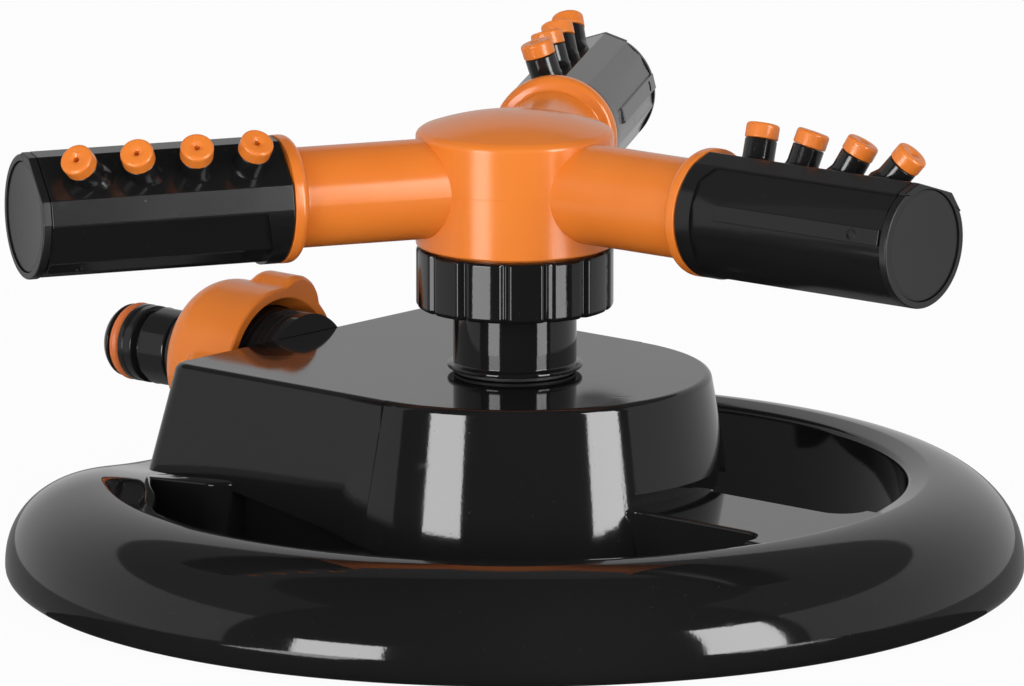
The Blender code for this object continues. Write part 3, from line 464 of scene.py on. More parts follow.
def ringSection(inset):
    outer = base["ringRadius"] - inset
    inner = base["innerRadius"] + inset
    crown = base["crown"] - inset
    widest = base["ringWidest"]
    steps = 10 if inset else 44
    points = [(inner, crown - base["rimDrop"], 0 if inset else base["rimRound"])]
    for i in range(steps + 1):
        share = sin(i / steps * pi / 2)
        radius = base["crownRadius"] + (outer - base["crownRadius"]) * share
        drop = (1 - share ** base["fullOut"]) ** (1 / base["fullUp"])
        points.append((radius, widest + (crown - widest) * drop))
    tuck = base["ringTuck"]
    if inset:
        return points + [(outer - tuck, widest - tuck), (outer - tuck, -base["deep"]), (inner, -base["deep"])]
    for i in range(1, 7):
        turn = i / 6 * pi / 2
        points.append((outer - tuck * (1 - cos(turn)), widest * (1 - sin(turn))))
    return points + [(inner + base["rimFoot"], 0), (inner, base["rimFoot"])]


def softStep(value, low, high):
    share = min(1, max(0, (value - low) / (high - low)))
    return share * share * (3 - 2 * share)


def inletSaddle(spot):
    # the ring dips under the inlet, and its rim widens inward there
    radius = radiusOf(spot)
    if radius < base["level"]:
        return spot
    off = abs(atan2(spot.y, spot.x))
    dip = base["saddle"] * (0.5 + 0.5 * cos(pi * min(1, off / base["saddleReach"])))
    dip *= softStep(radius, base["saddleFrom"], base["saddleFull"])
    crown, rim = base["crownRadius"], base["innerRadius"]
    shelf = base["shelf"] * (1 - softStep(off, base["shelfStart"], base["shelfEnd"]))
    wide = radius
    if rim - 1 < radius < crown:
        wide = crown - (crown - radius) * (crown - rim + shelf) / (crown - rim)
    rise = 1 - dip / base["crown"] if spot.z > 0 else 1
    return Vector((spot.x * wide / radius, spot.y * wide / radius, spot.z * rise))


def drumRadius(height):
    slope = (base["drumLow"] - base["drumTop"]) / (base["plate"] - base["seam"])
    return base["drumTop"] + slope * (base["plate"] - height)


def drumPiece(name, inset):
    top = base["plate"] - inset
    low = -base["deep"] if inset else base["skirt"]
    profile = [
        (0, top), (drumRadius(top) - inset, top, 0 if inset else base["edge"]),
        (drumRadius(low) - inset, low), (0, low),
    ]
    return turnedPiece(name, profile, base["drumSteps"], closed=False)


def tonguePiece(name, inset):
    top = base["plate"] - inset
    low = -base["deep"] if inset else base["skirt"]
    height = base["plate"] - base["seam"]
    piece = cubePiece(name, (0, 0, 0), (1, 1, 1))

    def shaped(spot):
        level = top if spot.z > mm / 2 else low
        fall = base["plate"] - level
        half = base["tongueTop"] + (base["tongueLow"] - base["tongueTop"]) * fall / height - inset
        end = base["tongueLength"] + base["tongueLean"] * fall / height - inset
        side = half if spot.y > mm / 2 else -half
        return Vector((end if spot.x > mm / 2 else -inset, side, level)) * mm

    moveVerts(piece, shaped)
    startEdit(piece)
    # the far end's upright edges, then the top's
    middle = base["tongueLength"] / 2 * mm
    corner = base["tongueCorner"] - inset
    bevelEdges(piece, lambda a, b: min(a.x, b.x) > middle and abs(a.z - b.z) > 5 * mm, corner, 9)
    if not inset:
        level = (top - 0.1) * mm
        bevelEdges(piece, lambda a, b: min(a.z, b.z) > level and max(a.x, b.x) > mm, base["edge"], 6)
    endEdit()
    return piece


def sideEdge(name, inset):
    # the space under the near wall's sloping edge
    crease = base["drumLow"] * cos(base["skirtStart"])
    rise = (base["sideEnd"] - base["sideStart"]) / (base["bridgeStart"] - crease)
    piece = cubePiece(name, (0, 0, 0), (1, 1, 1))

    def shaped(spot):
        end = base["bridgeStart"] + inset if spot.x > mm / 2 else crease - inset
        side = 2 * base["deep"] if spot.y > mm / 2 else base["tongueLow"] - base["recess"] - inset
        top = base["sideStart"] + rise * (end - crease) + inset
        return Vector((end, side, top if spot.z > mm / 2 else -2 * base["deep"])) * mm

    moveVerts(piece, shaped)
    return piece


def spokeOutline(inset):
    half = base["spokeHalf"] - inset
    inner = base["innerRadius"] + 2 * inset
    housing = base["drumLow"] - 2 * inset
    ringFillet, footFillet = base["ringFillet"], base["footFillet"]
    wide, narrow = half + ringFillet, half + footFillet
    ringMiddle = (-sqrt((inner - ringFillet) ** 2 - wide ** 2), wide)
    footMiddle = (-sqrt((housing + footFillet) ** 2 - narrow ** 2), narrow)
    reach = asin(wide / (inner - ringFillet))
    lean = asin(narrow / (housing + footFillet))
    upper = arcPoints(ringMiddle, ringFillet, pi - reach, 3 * pi / 2, 12)
    upper.insert(0, (-base["crownRadius"], upper[0][1]))
    upper += arcPoints(footMiddle, footFillet, -pi / 2, -lean, 6)
    upper.append((-(housing - 2 * base["wall"]), upper[-1][1]))
    return upper + [(x, -y) for x, y in reversed(upper)]


def bridgeHalf(name, side, inset):
    start = base["bridgeStart"] + inset
    near = base["bridgeGap"] + inset
    far = base["bridgeHalf"] - inset
    crown = base["crownRadius"]
    corner = base["bridgeCorner"]
    outline = [(start, near), (sqrt(crown ** 2 - near ** 2), near), (sqrt(crown ** 2 - far ** 2), far)]
    outline += arcPoints((start + corner, far - corner), corner, pi / 2, pi, 7)
    low = -base["deep"] if inset else base["skirt"]
    topRound = 0 if inset else base["slabRound"]
    outline = [(x, side * y) for x, y in outline]
    piece = slabPiece(name, outline, low, base["bridge"] - inset, topRound=topRound)
    startEdit(piece)
    for axis, places in base["slabCuts"]:
        # rows of vertices let the slab bend with the ring
        for i in places:
            middle, normal = [0, 0, 0], [0, 0, 0]
            middle[axis] = (i if axis == 0 else side * i) * mm
            normal[axis] = 1
            cutAcross(middle, normal)
    endEdit()
    moveVerts(piece, inletSaddle)
    return piece


def baseOutside():
    deep = base["deep"]
    below = base["seam"] - 2 * deep
    drum = drumPiece("drum", 0)
    farSide = cubePiece("farSide", (-2 * deep, -2 * deep, below), (2 * deep, 0, base["seam"]))
    carve(drum, [farSide, sideEdge("drumEdge", 0)])
    # the housing's wall steps back above the spoke
    arc = arcPoints((0, 0), base["lipReach"], base["lipStart"], base["lipEnd"], 24)
    arc += arcPoints((0, 0), drumRadius(base["lip"]) - base["lipDepth"], base["lipEnd"], base["lipStart"], 48)
    carve(drum, [slabPiece("lipCut", arc, -deep, base["lip"])])
    tongue = tonguePiece("tongue", 0)
    wall = base["wall"]
    endLow = (base["bridgeStart"] + wall, -wall, below)
    carve(tongue, [
        cubePiece("tongueFar", (-2 * deep, -2 * deep, below), (3 * deep, 0, base["seam"])),
        cubePiece("tongueEnd", endLow, (3 * deep, 2 * deep, base["seam"])),
        sideEdge("tongueEdge", 0),
    ])
    spoke = slabPiece("spoke", spokeOutline(0), base["skirt"], base["spoke"], topRound=base["slabRound"])
    outside = turnedPiece("baseMoulding", ringSection(0), base["ringSteps"])
    moveVerts(outside, inletSaddle)
    halves = [bridgeHalf("nearBridge", 1, 0), bridgeHalf("farBridge", -1, 0)]
    return combine(outside, [drum, tongue, spoke, *halves])


def baseInside():
    wall, deep = base["wall"], base["deep"]
    drum = carve(drumPiece("drumHollow", wall), [sideEdge("drumRecess", wall)])
    bossStart = base["pocketStart"] - wall
    boss = rodPiece("inletBoss", base["pocket"] + wall, bossStart, 2 * deep, 64, straightInlet)
    tongue = carve(tonguePiece("tongueHollow", wall), [sideEdge("tongueRecess", wall), boss])
    spoke = slabPiece("spokeHollow", spokeOutline(wall), -deep, base["spoke"] - wall)
    ring = turnedPiece("ringHollow", ringSection(wall), base["ringSteps"])
    moveVerts(ring, inletSaddle)
    halves = [bridgeHalf("nearHollow", 1, wall), bridgeHalf("farHollow", -1, wall)]
    return combine(ring, [drum, tongue, spoke, *halves])


moulding = baseOutside()
plateLow = base["plate"] - 2 * base["wall"]
carve(moulding, [
    baseInside(),
    rodPiece("riserHole", base["riserHole"], plateLow, base["plate"] + base["wall"], 128),
    rodPiece("pipeHole", base["pipeHole"], base["pipeStart"], base["pipeEnd"], 64, straightInlet),
    rodPiece("stubPocket", base["pocket"], base["pocketStart"], base["pocketEnd"], 96, straightInlet),
])
placeMesh(moulding, spinAbout(inlet["azimuth"]))
finishPiece(moulding, blackPlastic, "standing_part", "base")
print("base moulded")


# ---- riser, gasket, elbow and their seals

tower = {
    "steps": 144,
    "riser": [
        (11.6, 77, 0.5), (11.6, 66.6), (18.6, 66.6, 0.3), (18.6, 64.4, 0.3), (13.6, 64.4), (13.6, 47.85, 0.5),
        (14.9, 47.85, 0.6), (14.9, 46.75, 0.4), (10.1, 46.75), (10.1, 40.6, 0.5), (8.5, 40.6, 0.3),
        (8.5, 77, 0.4),
    ],
    "gasket": [(13.4, 46.6, 0.25), (13.4, 45.75, 0.25), (10.4, 45.75), (10.4, 46.6)],
    "elbow": 14.2, "elbowLow": 24.8, "elbowTop": 42.8,
    "elbowInside": [
        (0, 45.3), (12.2, 45.3), (12.2, 41), (10.4, 41), (10.4, 40.3), (12, 40.3), (12, 27, 1.5), (0, 27),
    ],
    "pipe": 6, "pipeStart": 9.8, "pipeEnd": 68, "pipeBore": 4.4,
}

riser = turnedPiece("riserTube", tower["riser"], tower["steps"])
finishPiece(riser, blackPlastic, "standing_part", "riser_tube")

gasket = turnedPiece("riserGasket", tower["gasket"], tower["steps"])
finishPiece(gasket, sealRubber, "standing_part", "riser_gasket")

elbowBody = rodPiece("inletElbow", tower["elbow"], tower["elbowLow"], tower["elbowTop"], tower["steps"])
elbowPipe = rodPiece("elbowPipe", tower["pipe"], tower["pipeStart"], tower["pipeEnd"], 96, inletFrame)
combine(elbowBody, [elbowPipe])
elbowInside = turnedPiece("elbowInside", tower["elbowInside"], tower["steps"], closed=False)
elbowBore = rodPiece("elbowBore", tower["pipeBore"], 6, 70.5, 64, inletFrame)
carve(elbowBody, [elbowInside, elbowBore])
finishPiece(elbowBody, blackPlastic, "standing_part", "inlet_elbow")


def sealRing(name, radius, height, half, steps, place=None, flash=0.04):
    # round section with the mould's thin line around it
    section = []
    for i in range(24):
        turn = -2 * pi * i / 24
        swell = half + (flash if i in (0, 12) else 0)
        section.append((radius + swell * cos(turn), height + swell * sin(turn)))
    return turnedPiece(name, section, steps, place)


riserSeal = sealRing("riserSeal", 11.15, 42.05, 0.75, 96)
finishPiece(riserSeal, sealRubber, "standing_part", "riser_o_ring")
print("riser and elbow made")


# ---- inlet: threaded bush, washer, plug and coupling nut

thread = {
    "radius": 13.2, "start": 63.4, "end": 80.6, "pitch": 2.1, "depth": 0.5, "runout": 1.6, "flank": 3.2,
    "root": 0.3, "rows": 125, "rowTop": 81, "rowStep": 0.15, "outside": 13.0,
}

bushProfile = [(thread["radius"], 81.5, 0.9)]
bushProfile += [(thread["radius"], thread["rowTop"] - thread["rowStep"] * i) for i in range(thread["rows"])]
bushProfile += [
    (thread["radius"], 61.8), (6.3, 61.8), (6.3, 68.3), (4.4, 68.3), (4.4, 69.3), (9, 71.3), (9, 81.5, 0.4),
]
bush = turnedPiece("inletBush", bushProfile, 144)


def threadRule(spot):
    radius = radiusOf(spot)
    height = spot.z / mm
    if radius < thread["outside"] or not thread["start"] < height < thread["end"]:
        return spot
    turn = (atan2(spot.y, spot.x) / (2 * pi) + height / thread["pitch"]) % 1
    # 0 at the root, 1 on the crest
    tooth = min(1, max(0, abs(turn - 0.5) * thread["flank"] - thread["root"]))
    runIn = min(1, (height - thread["start"]) / thread["runout"], (thread["end"] - height) / thread["runout"])
    return widened(spot, 1 - thread["depth"] / radius * (1 - tooth) * runIn)


moveVerts(bush, threadRule)
placeMesh(bush, inletFrame)
finishPiece(bush, blackPlastic, "standing_part", "inlet_bush", sharp=40)

washerProfile = [(13.2, 83.6, 0.3), (13.2, 81.8, 0.3), (5.4, 81.8), (5.4, 83.6)]
washer = turnedPiece("hoseWasher", washerProfile, 96, inletFrame)
finishPiece(washer, sealRubber, "standing_part", "hose_washer")

plug = {"flats": 12, "flatDepth": 0.12, "flatLow": 98.8, "flatTop": 106, "collar": 8}

nipple = turnedPiece("hoseNipple", [
    (7.3, 117.8, 0.5), (8.3, 116.4, 0.8), (8.3, 115.75, 0.25), (5.75, 115.75, 0.2), (5.75, 112.45, 0.2),
    (8.75, 112.45, 0.35), (8.75, 111, 0.15), (8.6, 110.8, 0.1), (8.6, 109.8, 0.1), (8.75, 109.6, 0.15),
    (8.75, 108.3, 0.4), (7, 107.8, 0.5), (7, 106.8, 0.5), (8.75, 106.3, 0.5), (8.75, 98.3, 0.7),
    (7.5, 98.3, 0.4), (7.5, 96.1, 0.4), (10.5, 96.1, 0.4), (10.5, 94.7, 0.3), (9, 94.7), (9, 86.5, 0.4),
    (12.9, 86.5, 0.3), (12.9, 83.9, 0.2), (4.4, 83.9, 0.3), (4.4, 117.8, 0.9),
], 144)


def collarFlats(spot):
    # shallow flats around the plug's collar
    radius = radiusOf(spot)
    if radius < plug["collar"] or not plug["flatLow"] < spot.z / mm < plug["flatTop"]:
        return spot
    flat = (atan2(spot.y, spot.x) / (2 * pi) * plug["flats"]) % 1 - 0.5
    return widened(spot, 1 - plug["flatDepth"] / radius * (1 - (2 * flat) ** 2))


moveVerts(nipple, collarFlats)
placeMesh(nipple, inletFrame)
finishPiece(nipple, tubePlastic, "standing_part", "hose_nipple")

plugSeal = sealRing("plugSeal", 7.4, 114.1, 1.35, 128, inletFrame)
finishPiece(plugSeal, orangeRubber, "standing_part", "nipple_o_ring")

nut = {
    "start": 69.7, "end": 91.7, "radius": 18, "front": 12.6, "dome": 7, "bore": 13.6, "shoulder": 86.8,
    "lobes": 3, "turn": radians(25), "lobeMiddle": 14.4, "lobeRadius": 6.8, "lobeRound": 3, "lobeEnd": 82.4,
    "lobeSlope": 0.9, "blend": 0.9, "outside": 16, "steps": 264, "domeSteps": 26, "row": 0.4,
}


def nutProfile():
    points = [(nut["front"] - 1.2, nut["end"], 0.5)]
    count = nut["domeSteps"]
    for i in range(count + 1):
        share = 1 - i / count
        fall = (nut["radius"] - nut["front"]) * (1 - sqrt(1 - share ** 2))
        points.append((nut["radius"] - fall, nut["end"] - nut["dome"] * (1 - share)))
    height = nut["end"] - nut["dome"] - nut["row"]
    while height > nut["start"] + 1.2:
        points.append((nut["radius"], height))
        height -= nut["row"]
    points += [(nut["radius"], nut["start"], 0.9), (15.7, nut["start"], 0.4), (nut["bore"], 73.6, 0.8)]
    points += [(nut["bore"], nut["shoulder"]), (9.4, nut["shoulder"]), (9.4, nut["end"], 0.4)]
    return points


def nutLobes(spot):
    # the lobes rise from the nut's round side
    radius = radiusOf(spot)
    height = spot.z / mm
    if radius < nut["outside"] or height > nut["lobeEnd"] + 0.6:
        return spot
    angle = atan2(spot.y, spot.x)
    step = 2 * pi / nut["lobes"]
    off = (angle - nut["turn"] + step / 2) % step - step / 2
    own = nut["lobeRadius"]
    rise = height - (nut["lobeEnd"] - nut["lobeRound"])
    if rise > 0:
        own += sqrt(max(0, nut["lobeRound"] ** 2 - rise ** 2)) - nut["lobeRound"]
    span = own ** 2 - (nut["lobeMiddle"] * sin(off)) ** 2
    reach = nut["lobeMiddle"] * cos(off) + sqrt(span) if span > 0 else 0
    reach -= max(0, nut["start"] + 1 - height) * nut["lobeSlope"]
    gap = max(0, nut["blend"] - abs(reach - radius)) / nut["blend"]
    wide = max(radius, reach) + gap ** 2 * nut["blend"] / 4
    return spot if wide <= radius else widened(spot, wide / radius)


couplingNut = turnedPiece("couplingNut", nutProfile(), nut["steps"])
moveVerts(couplingNut, nutLobes)
placeMesh(couplingNut, inletFrame)
finishPiece(couplingNut, orangePlastic, "standing_part", "coupling_nut", sharp=50)
print("inlet made")


# ---- turning head

head = {
    "axis": 87.8, "hub": 21.8, "hubLow": 74.2, "rim": 99.9, "edge": 1.2, "dome": 3.6, "steps": 176,
    "domeSteps": 24, "armSteps": 144, "arm": 11, "bore": 6.5, "flange": 14.05, "parting": 0.07,
    "partingHalf": 0.12, "partingAngle": radians(1), "partingEnd": 50,
}
# azimuths of the arms, and the turn of each one's tube at rest
arms = {"left": radians(200.5), "right": radians(320.5), "rear": radians(80.5)}
turned = {"left": radians(41), "right": radians(18), "rear": radians(17)}


def hubPiece():
    hub, axis, low, part = head["hub"], head["axis"], head["hubLow"], head["partingHalf"]
    start = hub - head["edge"]
    bend = (start ** 2 + head["dome"] ** 2) / (2 * head["dome"])
    profile = []
    for i in range(head["domeSteps"] + 1):
        radius = start * i / head["domeSteps"]
        profile.append((radius, head["rim"] + head["dome"] - bend + sqrt(bend ** 2 - radius ** 2)))
    profile[-1] += (1.6,)
    profile += [
        (hub, head["rim"] - 0.9, 1.4), (hub, axis + part), (hub + head["parting"], axis), (hub, axis - part),
        (hub, low, 0.5), (18.6, low), (18.6, 68.1), (0, 68.1),
    ]
    return turnedPiece("rotorHead", profile, head["steps"], closed=False)


def armPiece(name, azimuth):
    arm, flange = head["arm"], head["flange"]
    profile = [
        (0, 64), (10.6, 64, 0.4), (10.6, 63.1), (9.8, 63.1, 0.2), (9.8, 60.9, 0.2), (10.6, 60.9),
        (10.6, 59.7), (9, 59.7), (9, 57.5), (10.6, 57.5), (10.6, 55.7),
        (flange, 55.7, 0.25), (flange, 52.6, 1.9), (arm, 52.0, 0.7), (arm, 12), (0, 12),
    ]
    piece = turnedPiece(name, profile, head["armSteps"], closed=False)

    def parting(spot):
        # the mould's line runs along both sides
        radius = radiusOf(spot)
        side = abs(abs(atan2(spot.y, spot.x)) - pi / 2)
        if side > head["partingAngle"] or radius < arm - 0.1 or spot.z > head["partingEnd"] * mm:
            return spot
        return widened(spot, 1 + head["parting"] / radius)

    moveVerts(piece, parting)
    return placeMesh(piece, axisFrame(azimuth, head["axis"]))


rotor = hubPiece()
combine(rotor, [armPiece(f"arm{side}", azimuth) for side, azimuth in arms.items()])
chamber = turnedPiece("hubChamber", [
    (0, 97.1), (19, 97.1, 2), (19, 77.6), (12, 74.2), (12, 65.6), (0, 65.6),
], 96, closed=False)
bores = [rodPiece(f"bore{side}", head["bore"], 10.9, 66.5, 64, axisFrame(azimuth, head["axis"]))
         for side, azimuth in arms.items()]
carve(rotor, [chamber, *bores])
finishPiece(rotor, orangePlastic, "turning_head", "rotor_head")

collar = {
    "radius": 21.7, "inside": 20.3, "low": 60.3, "top": 73.5, "turn": radians(-96), "grooves": 14,
    "groove": 0.95, "grooveHalf": 1.7, "grooveForm": 1.3, "perGroove": 30,
}
collarNut = turnedPiece("collarNut", [
    (collar["radius"], collar["top"], 0.6), (collar["radius"], 69.5), (collar["radius"], 65.5),
    (collar["radius"], collar["low"], 1.1), (14, collar["low"], 0.3), (14, 62.9), (19, 62.9),
    (19, collar["top"]),
], collar["grooves"] * collar["perGroove"])


def gripRule(spot):
    # rounded grooves run up the side
    radius = radiusOf(spot)
    if radius < collar["inside"]:
        return spot
    step = 2 * pi / collar["grooves"]
    angle = atan2(spot.y, spot.x) - collar["turn"]
    whole = round(angle / step)
    share = (angle - whole * step) / (step / 2)
    share *= 0.3 + 0.7 * share ** 2  # more rows near each groove
    across = abs(share) * step / 2 * collar["radius"]
    dent = 0
    if across < collar["grooveHalf"]:
        wave = 0.5 + 0.5 * cos(pi * across / collar["grooveHalf"])
        dent = collar["groove"] * wave ** collar["grooveForm"]
    middle = (collar["low"] + collar["top"]) / 2
    dent *= min(1, (collar["top"] + 0.4 - max(spot.z / mm, middle)) / 0.8)
    angle = collar["turn"] + whole * step + share * step / 2
    return Vector((cos(angle) * (radius - dent), sin(angle) * (radius - dent), spot.z / mm)) * mm


moveVerts(collarNut, gripRule)
finishPiece(collarNut, blackPlastic, "turning_head", "collar_nut", sharp=40)

washers = {
    # node, low side, inner radius
    "thrustWasher": ("lower_thrust_washer", 63.2, 14), "sealWasher": ("upper_seal_washer", 66.9, 12),
}
for name, (node, low, bore) in washers.items():
    outer, top = 18.6, low + 0.9
    ring = turnedPiece(name, [(outer, top, 0.2), (outer, low, 0.2), (bore, low, 0.2), (bore, top, 0.2)], 96)
    finishPiece(ring, sealRubber, "turning_head", node)
print("head made")


# ---- nozzle tubes, their caps and tips

tube = {
    "start": 56, "end": 111.2, "radius": 14, "bore": 11, "edge": 0.25, "steps": 132, "crease": 0.5,
    "facet": radians(26), "second": radians(48),
    "step": 0.35, "panel": radians(50), "panelStart": 60, "panelCorner": 2.2, "panelColumns": 220,
    "panelRise": 2.5, "rib": radians(94), "ribWidth": 3.5, "ribStart": 66, "ribEnd": 111.1, "ribRise": 0.15,
    "ribSlope": 0.8, "ribEdge": 0.16, "gate": 104,
    "fan": [radians(-3), radians(10), radians(23), radians(36)], "first": 64.8, "pitch": 12,
    "stem": 3.5, "stemTop": 4.7, "stemBore": 2,
}


def tubeOutline(radius, crease):
    # two flats on each side of a middle one, and an arc for the rest
    flats = [-tube["second"], -tube["facet"], tube["facet"], tube["second"]]
    points = [(tube["radius"] * cos(a), tube["radius"] * sin(a), crease) for a in flats]
    count = tube["steps"]
    span = 2 * pi - 2 * tube["second"]
    first = 0 if radius < tube["radius"] else 1
    for i in range(first, count + 1 - first):
        angle = tube["second"] + span * i / count
        points.append((radius * cos(angle), radius * sin(angle)))
    return roundCorners(points, finest=9)


def panelCutter(name):
    # a flat strip with rounded corners, wrapped round the tube
    half = (pi - tube["panel"]) * tube["radius"]
    columns = tube["panelColumns"]
    strip = cubePiece(name, (0, 0, 0), (1, 1, 1))
    startEdit(strip)
    for i in range(1, columns):
        cutAcross((i / columns * mm, 0, 0), (1, 0, 0))
    endEdit()
    corner = tube["panelCorner"]

    def wrapped(spot):
        share = spot.x / mm * 2 - 1
        share = share * (1.25 - 0.25 * share ** 2)  # finer columns at the corners
        across = share * half
        low = tube["panelStart"]
        past = abs(across) - (half - corner)
        if past > 0:
            low += corner - sqrt(max(0, corner ** 2 - past ** 2))
        height = low if spot.y < mm / 2 else tube["end"] + 3
        radius = tube["radius"] + (tube["panelRise"] if spot.z > mm / 2 else -tube["step"])
        angle = pi + across / tube["radius"]
        return Vector((cos(angle) * radius, sin(angle) * radius, height)) * mm

    moveVerts(strip, wrapped)
    startEdit(strip)
    matchNormals()
    endEdit()
    return strip


def stemFrame(number):
    facet = tube["radius"] * cos(tube["facet"]) * mm
    tilt = Matrix.Rotation(pi / 2 - tube["fan"][number], 4, "Y")
    return Matrix.Translation((facet, 0, (tube["first"] + number * tube["pitch"]) * mm)) @ tilt


def ribPiece(name, sign):
    radius = tube["radius"]
    outer, half = radius + tube["ribRise"], tube["ribWidth"] / 2
    piece = cubePiece(name, (radius - 1.5, -half, tube["ribStart"]), (outer, half, tube["ribEnd"]))
    # the inner end slopes
    slope = Vector((0, 0, tube["ribSlope"] * mm))
    low = (tube["ribStart"] + 0.1) * mm
    moveVerts(piece, lambda spot: spot + slope if spot.x > radius * mm and spot.z < low else spot)
    startEdit(piece)
    face = (outer - 0.05) * mm
    bevelEdges(piece, lambda a, b: min(a.x, b.x) > face, tube["ribEdge"], 3)
    endEdit()
    return placeMesh(piece, spinAbout(sign * tube["rib"]))


def tubeBody():
    body = slabPiece("nozzleTube", tubeOutline(tube["radius"], tube["crease"]), tube["start"], tube["end"])
    startEdit(body)
    ends = (tube["start"] + 0.01) * mm, (tube["end"] - 0.01) * mm
    bevelEdges(body, lambda a, b: max(a.z, b.z) < ends[0] or min(a.z, b.z) > ends[1], tube["edge"], 3)
    endEdit()
    carve(body, [panelCutter("panel")])
    combine(body, [ribPiece("rib", 1), ribPiece("otherRib", -1)])
    stem, stemTop, bore = tube["stem"], tube["stemTop"], tube["bore"]
    stemProfile = [
        (0, stemTop), (stem, stemTop, 0.25), (stem, 0.5, 2.4), (4.3, -1.4), (4.3, -2.6), (0, -2.6),
    ]
    combine(body, [turnedPiece("stem", stemProfile, 56, stemFrame(n), closed=False) for n in range(4)])
    # a small ridge keeps the tube on its arm
    inside = [
        (0, 140), (bore, 140), (bore, 62.8), (10.2, 62.25, 0.2), (10.2, 61.75, 0.2), (bore, 61.2),
        (bore, 53), (0, 53),
    ]
    carve(body, [turnedPiece("tubeInside", inside, 96, closed=False)])
    drills = [rodPiece("drill", tube["stemBore"], -6, 9, 32, stemFrame(n)) for n in range(4)]
    gates = []
    gateProfile = [
        (0, 0.5), (1.25, 0.5), (1.25, -0.12, 0.1), (0.95, -0.12, 0.1), (0.8, -0.02, 0.1), (0, -0.02),
    ]
    gate = Matrix.Translation((tube["radius"] * mm, 0, tube["gate"] * mm)) @ Matrix.Rotation(pi / 2, 4, "Y")
    for sign in (1, -1):
        spot = spinAbout(sign * tube["rib"]) @ gate
        gates.append(turnedPiece("gateMark", gateProfile, 28, spot, closed=False))
    carve(body, drills + gates)
    return body


cap = {
    "low": 111.5, "top": 113.3, "crease": 0.6, "edge": 0.35, "plug": 10.7, "plugLow": 106.5, "recess": 12.2,
    "floor": 112.4, "hollow": 8.7, "hollowTop": 109.7, "sectors": 6,
}


def endCap():
    outline = tubeOutline(tube["radius"] - tube["step"], cap["crease"])
    piece = slabPiece("endCap", outline, cap["low"], cap["top"])
    startEdit(piece)
    top = (cap["top"] - 0.01) * mm
    bevelEdges(piece, lambda a, b: min(a.z, b.z) > top, cap["edge"], draft["edgeSegments"])
    endEdit()
    combine(piece, [rodPiece("capPlug", cap["plug"], cap["plugLow"], cap["floor"], 96)])
    startEdit(piece)
    for i in range(cap["sectors"]):
        # no face may run all round the recess
        turn = pi * (i + 0.3) / cap["sectors"]
        cutAcross((0, 0, 0), (cos(turn), sin(turn), 0))
    endEdit()
    recess = rodPiece("capRecess", cap["recess"], cap["floor"], 116, 128)
    hollow = rodPiece("capHollow", cap["hollow"], 101.5, cap["hollowTop"], 96)
    carve(piece, [recess, hollow])
    # the dished disc sits in the recess, and the fine line round it shows
    disc = turnedPiece("capDisc", [
        (0, 112.72), (3, 112.73), (6, 112.78), (9, 112.88), (11.2, 113.02, 0.5), (12.06, 112.95, 0.2),
        (12.06, 112.35), (0, 112.35),
    ], 128, closed=False)
    activate(piece)
    disc.select_set(True)
    bpy.ops.object.join()
    return piece


tubeMaster = tubeBody()
capMaster = endCap()
tipMaster = turnedPiece("nozzleTip", [
    (3.65, 4.85, 0.3), (1.7, 4.85), (1.7, 2, 0.2), (0.65, 2), (0.65, 7.7, 0.1), (1.5, 8.15, 0.3),
    (3.65, 8.3, 0.75),
], 72)
sealMaster = sealRing("armSeal", 9.9, 58.6, 0.8, 96)
for side, azimuth in arms.items():
    body = f"{side}_nozzles"
    place = axisFrame(azimuth, head["axis"]) @ spinAbout(-turned[side])
    for master, name, surface, slot, node in (
        (tubeMaster, "nozzleTube", tubePlastic, "black_plastic", "nozzle_tube"),
        (capMaster, "endCap", capPlastic, "black_plastic", "end_cap"),
        (sealMaster, "armSeal", sealRubber, "seal_rubber", "arm_o_ring"),
    ):
        piece = copyPiece(master, name + side.capitalize(), place)
        finishPiece(piece, surface, body, f"{node}_{side}")
    for number in range(4):
        name = f"nozzleTip{side.capitalize()}{number + 1}"
        piece = copyPiece(tipMaster, name, place @ stemFrame(number))
        finishPiece(piece, tipPlastic, body, f"nozzle_tip_{side}_{number + 1}")
for master in (tubeMaster, capMaster, tipMaster, sealMaster):
    bpy.data.objects.remove(master)
print("nozzle tubes made")


# ---- studio and camera

studio = {
    "floor": 60, "floorDrop": 0.0002, "floorWhite": 0.95, "floorPaint": 0.86, "sky": 0.42, "front": 2.08,
    "wallRadius": 4.0, "wallHeight": 7.0, "greyHeight": 2.8, "inner": 0.22, "cardDrop": 0.0001,
    "cardSteps": 24, "frontStart": radians(203), "frontEnd": radians(338),
    "dark": 0.03, "grey": 0.6, "upper": 0.14, "shadowLevel": 0.22, "paintedReflectionLevel": 6,
    "softboxes": (
        # name, azimuth, distance, width, height, brightness in reflections, lamp's watts, start of the
        # floor's painted reflection strip
        ("leftSoftbox", radians(231.4), 1.6, 0.58, 0.46, 13.5, 7.3, 0.19),
        ("rightSoftbox", radians(321), 1.7, 0.57, 1.04, 14, 6.6, 0.25),
    ),
}


def stagePiece(piece, surface):
    piece.data.materials.clear()
    piece.data.materials.append(surface)


def glowShader(sheet, level):
    return sheet.node("ShaderNodeEmission", None, {"Color": (1, 1, 1, 1), "Strength": level})


def seenDirectly(sheet):
    # 1 for the camera, reflections and what shows through
    path = "ShaderNodeLightPath"
    seen = sheet.node(path, out="Is Camera Ray") + sheet.node(path, out="Is Glossy Ray")
    return seen + sheet.node(path, out="Is Transmission Ray")


def floorPaint():
    # mostly white where it is seen, and the rest takes the shadow
    sheet = Sheet("floorPaint")
    seen = seenDirectly(sheet)
    paint = studio["floorPaint"]
    matt = sheet.node("ShaderNodeBsdfDiffuse", None, {"Color": (paint, paint, paint, 1)})
    sockets = {0: seen * studio["floorWhite"], 1: matt, 2: glowShader(sheet, 1.0)}
    return sheet.end(sheet.node("ShaderNodeMixShader", None, sockets))


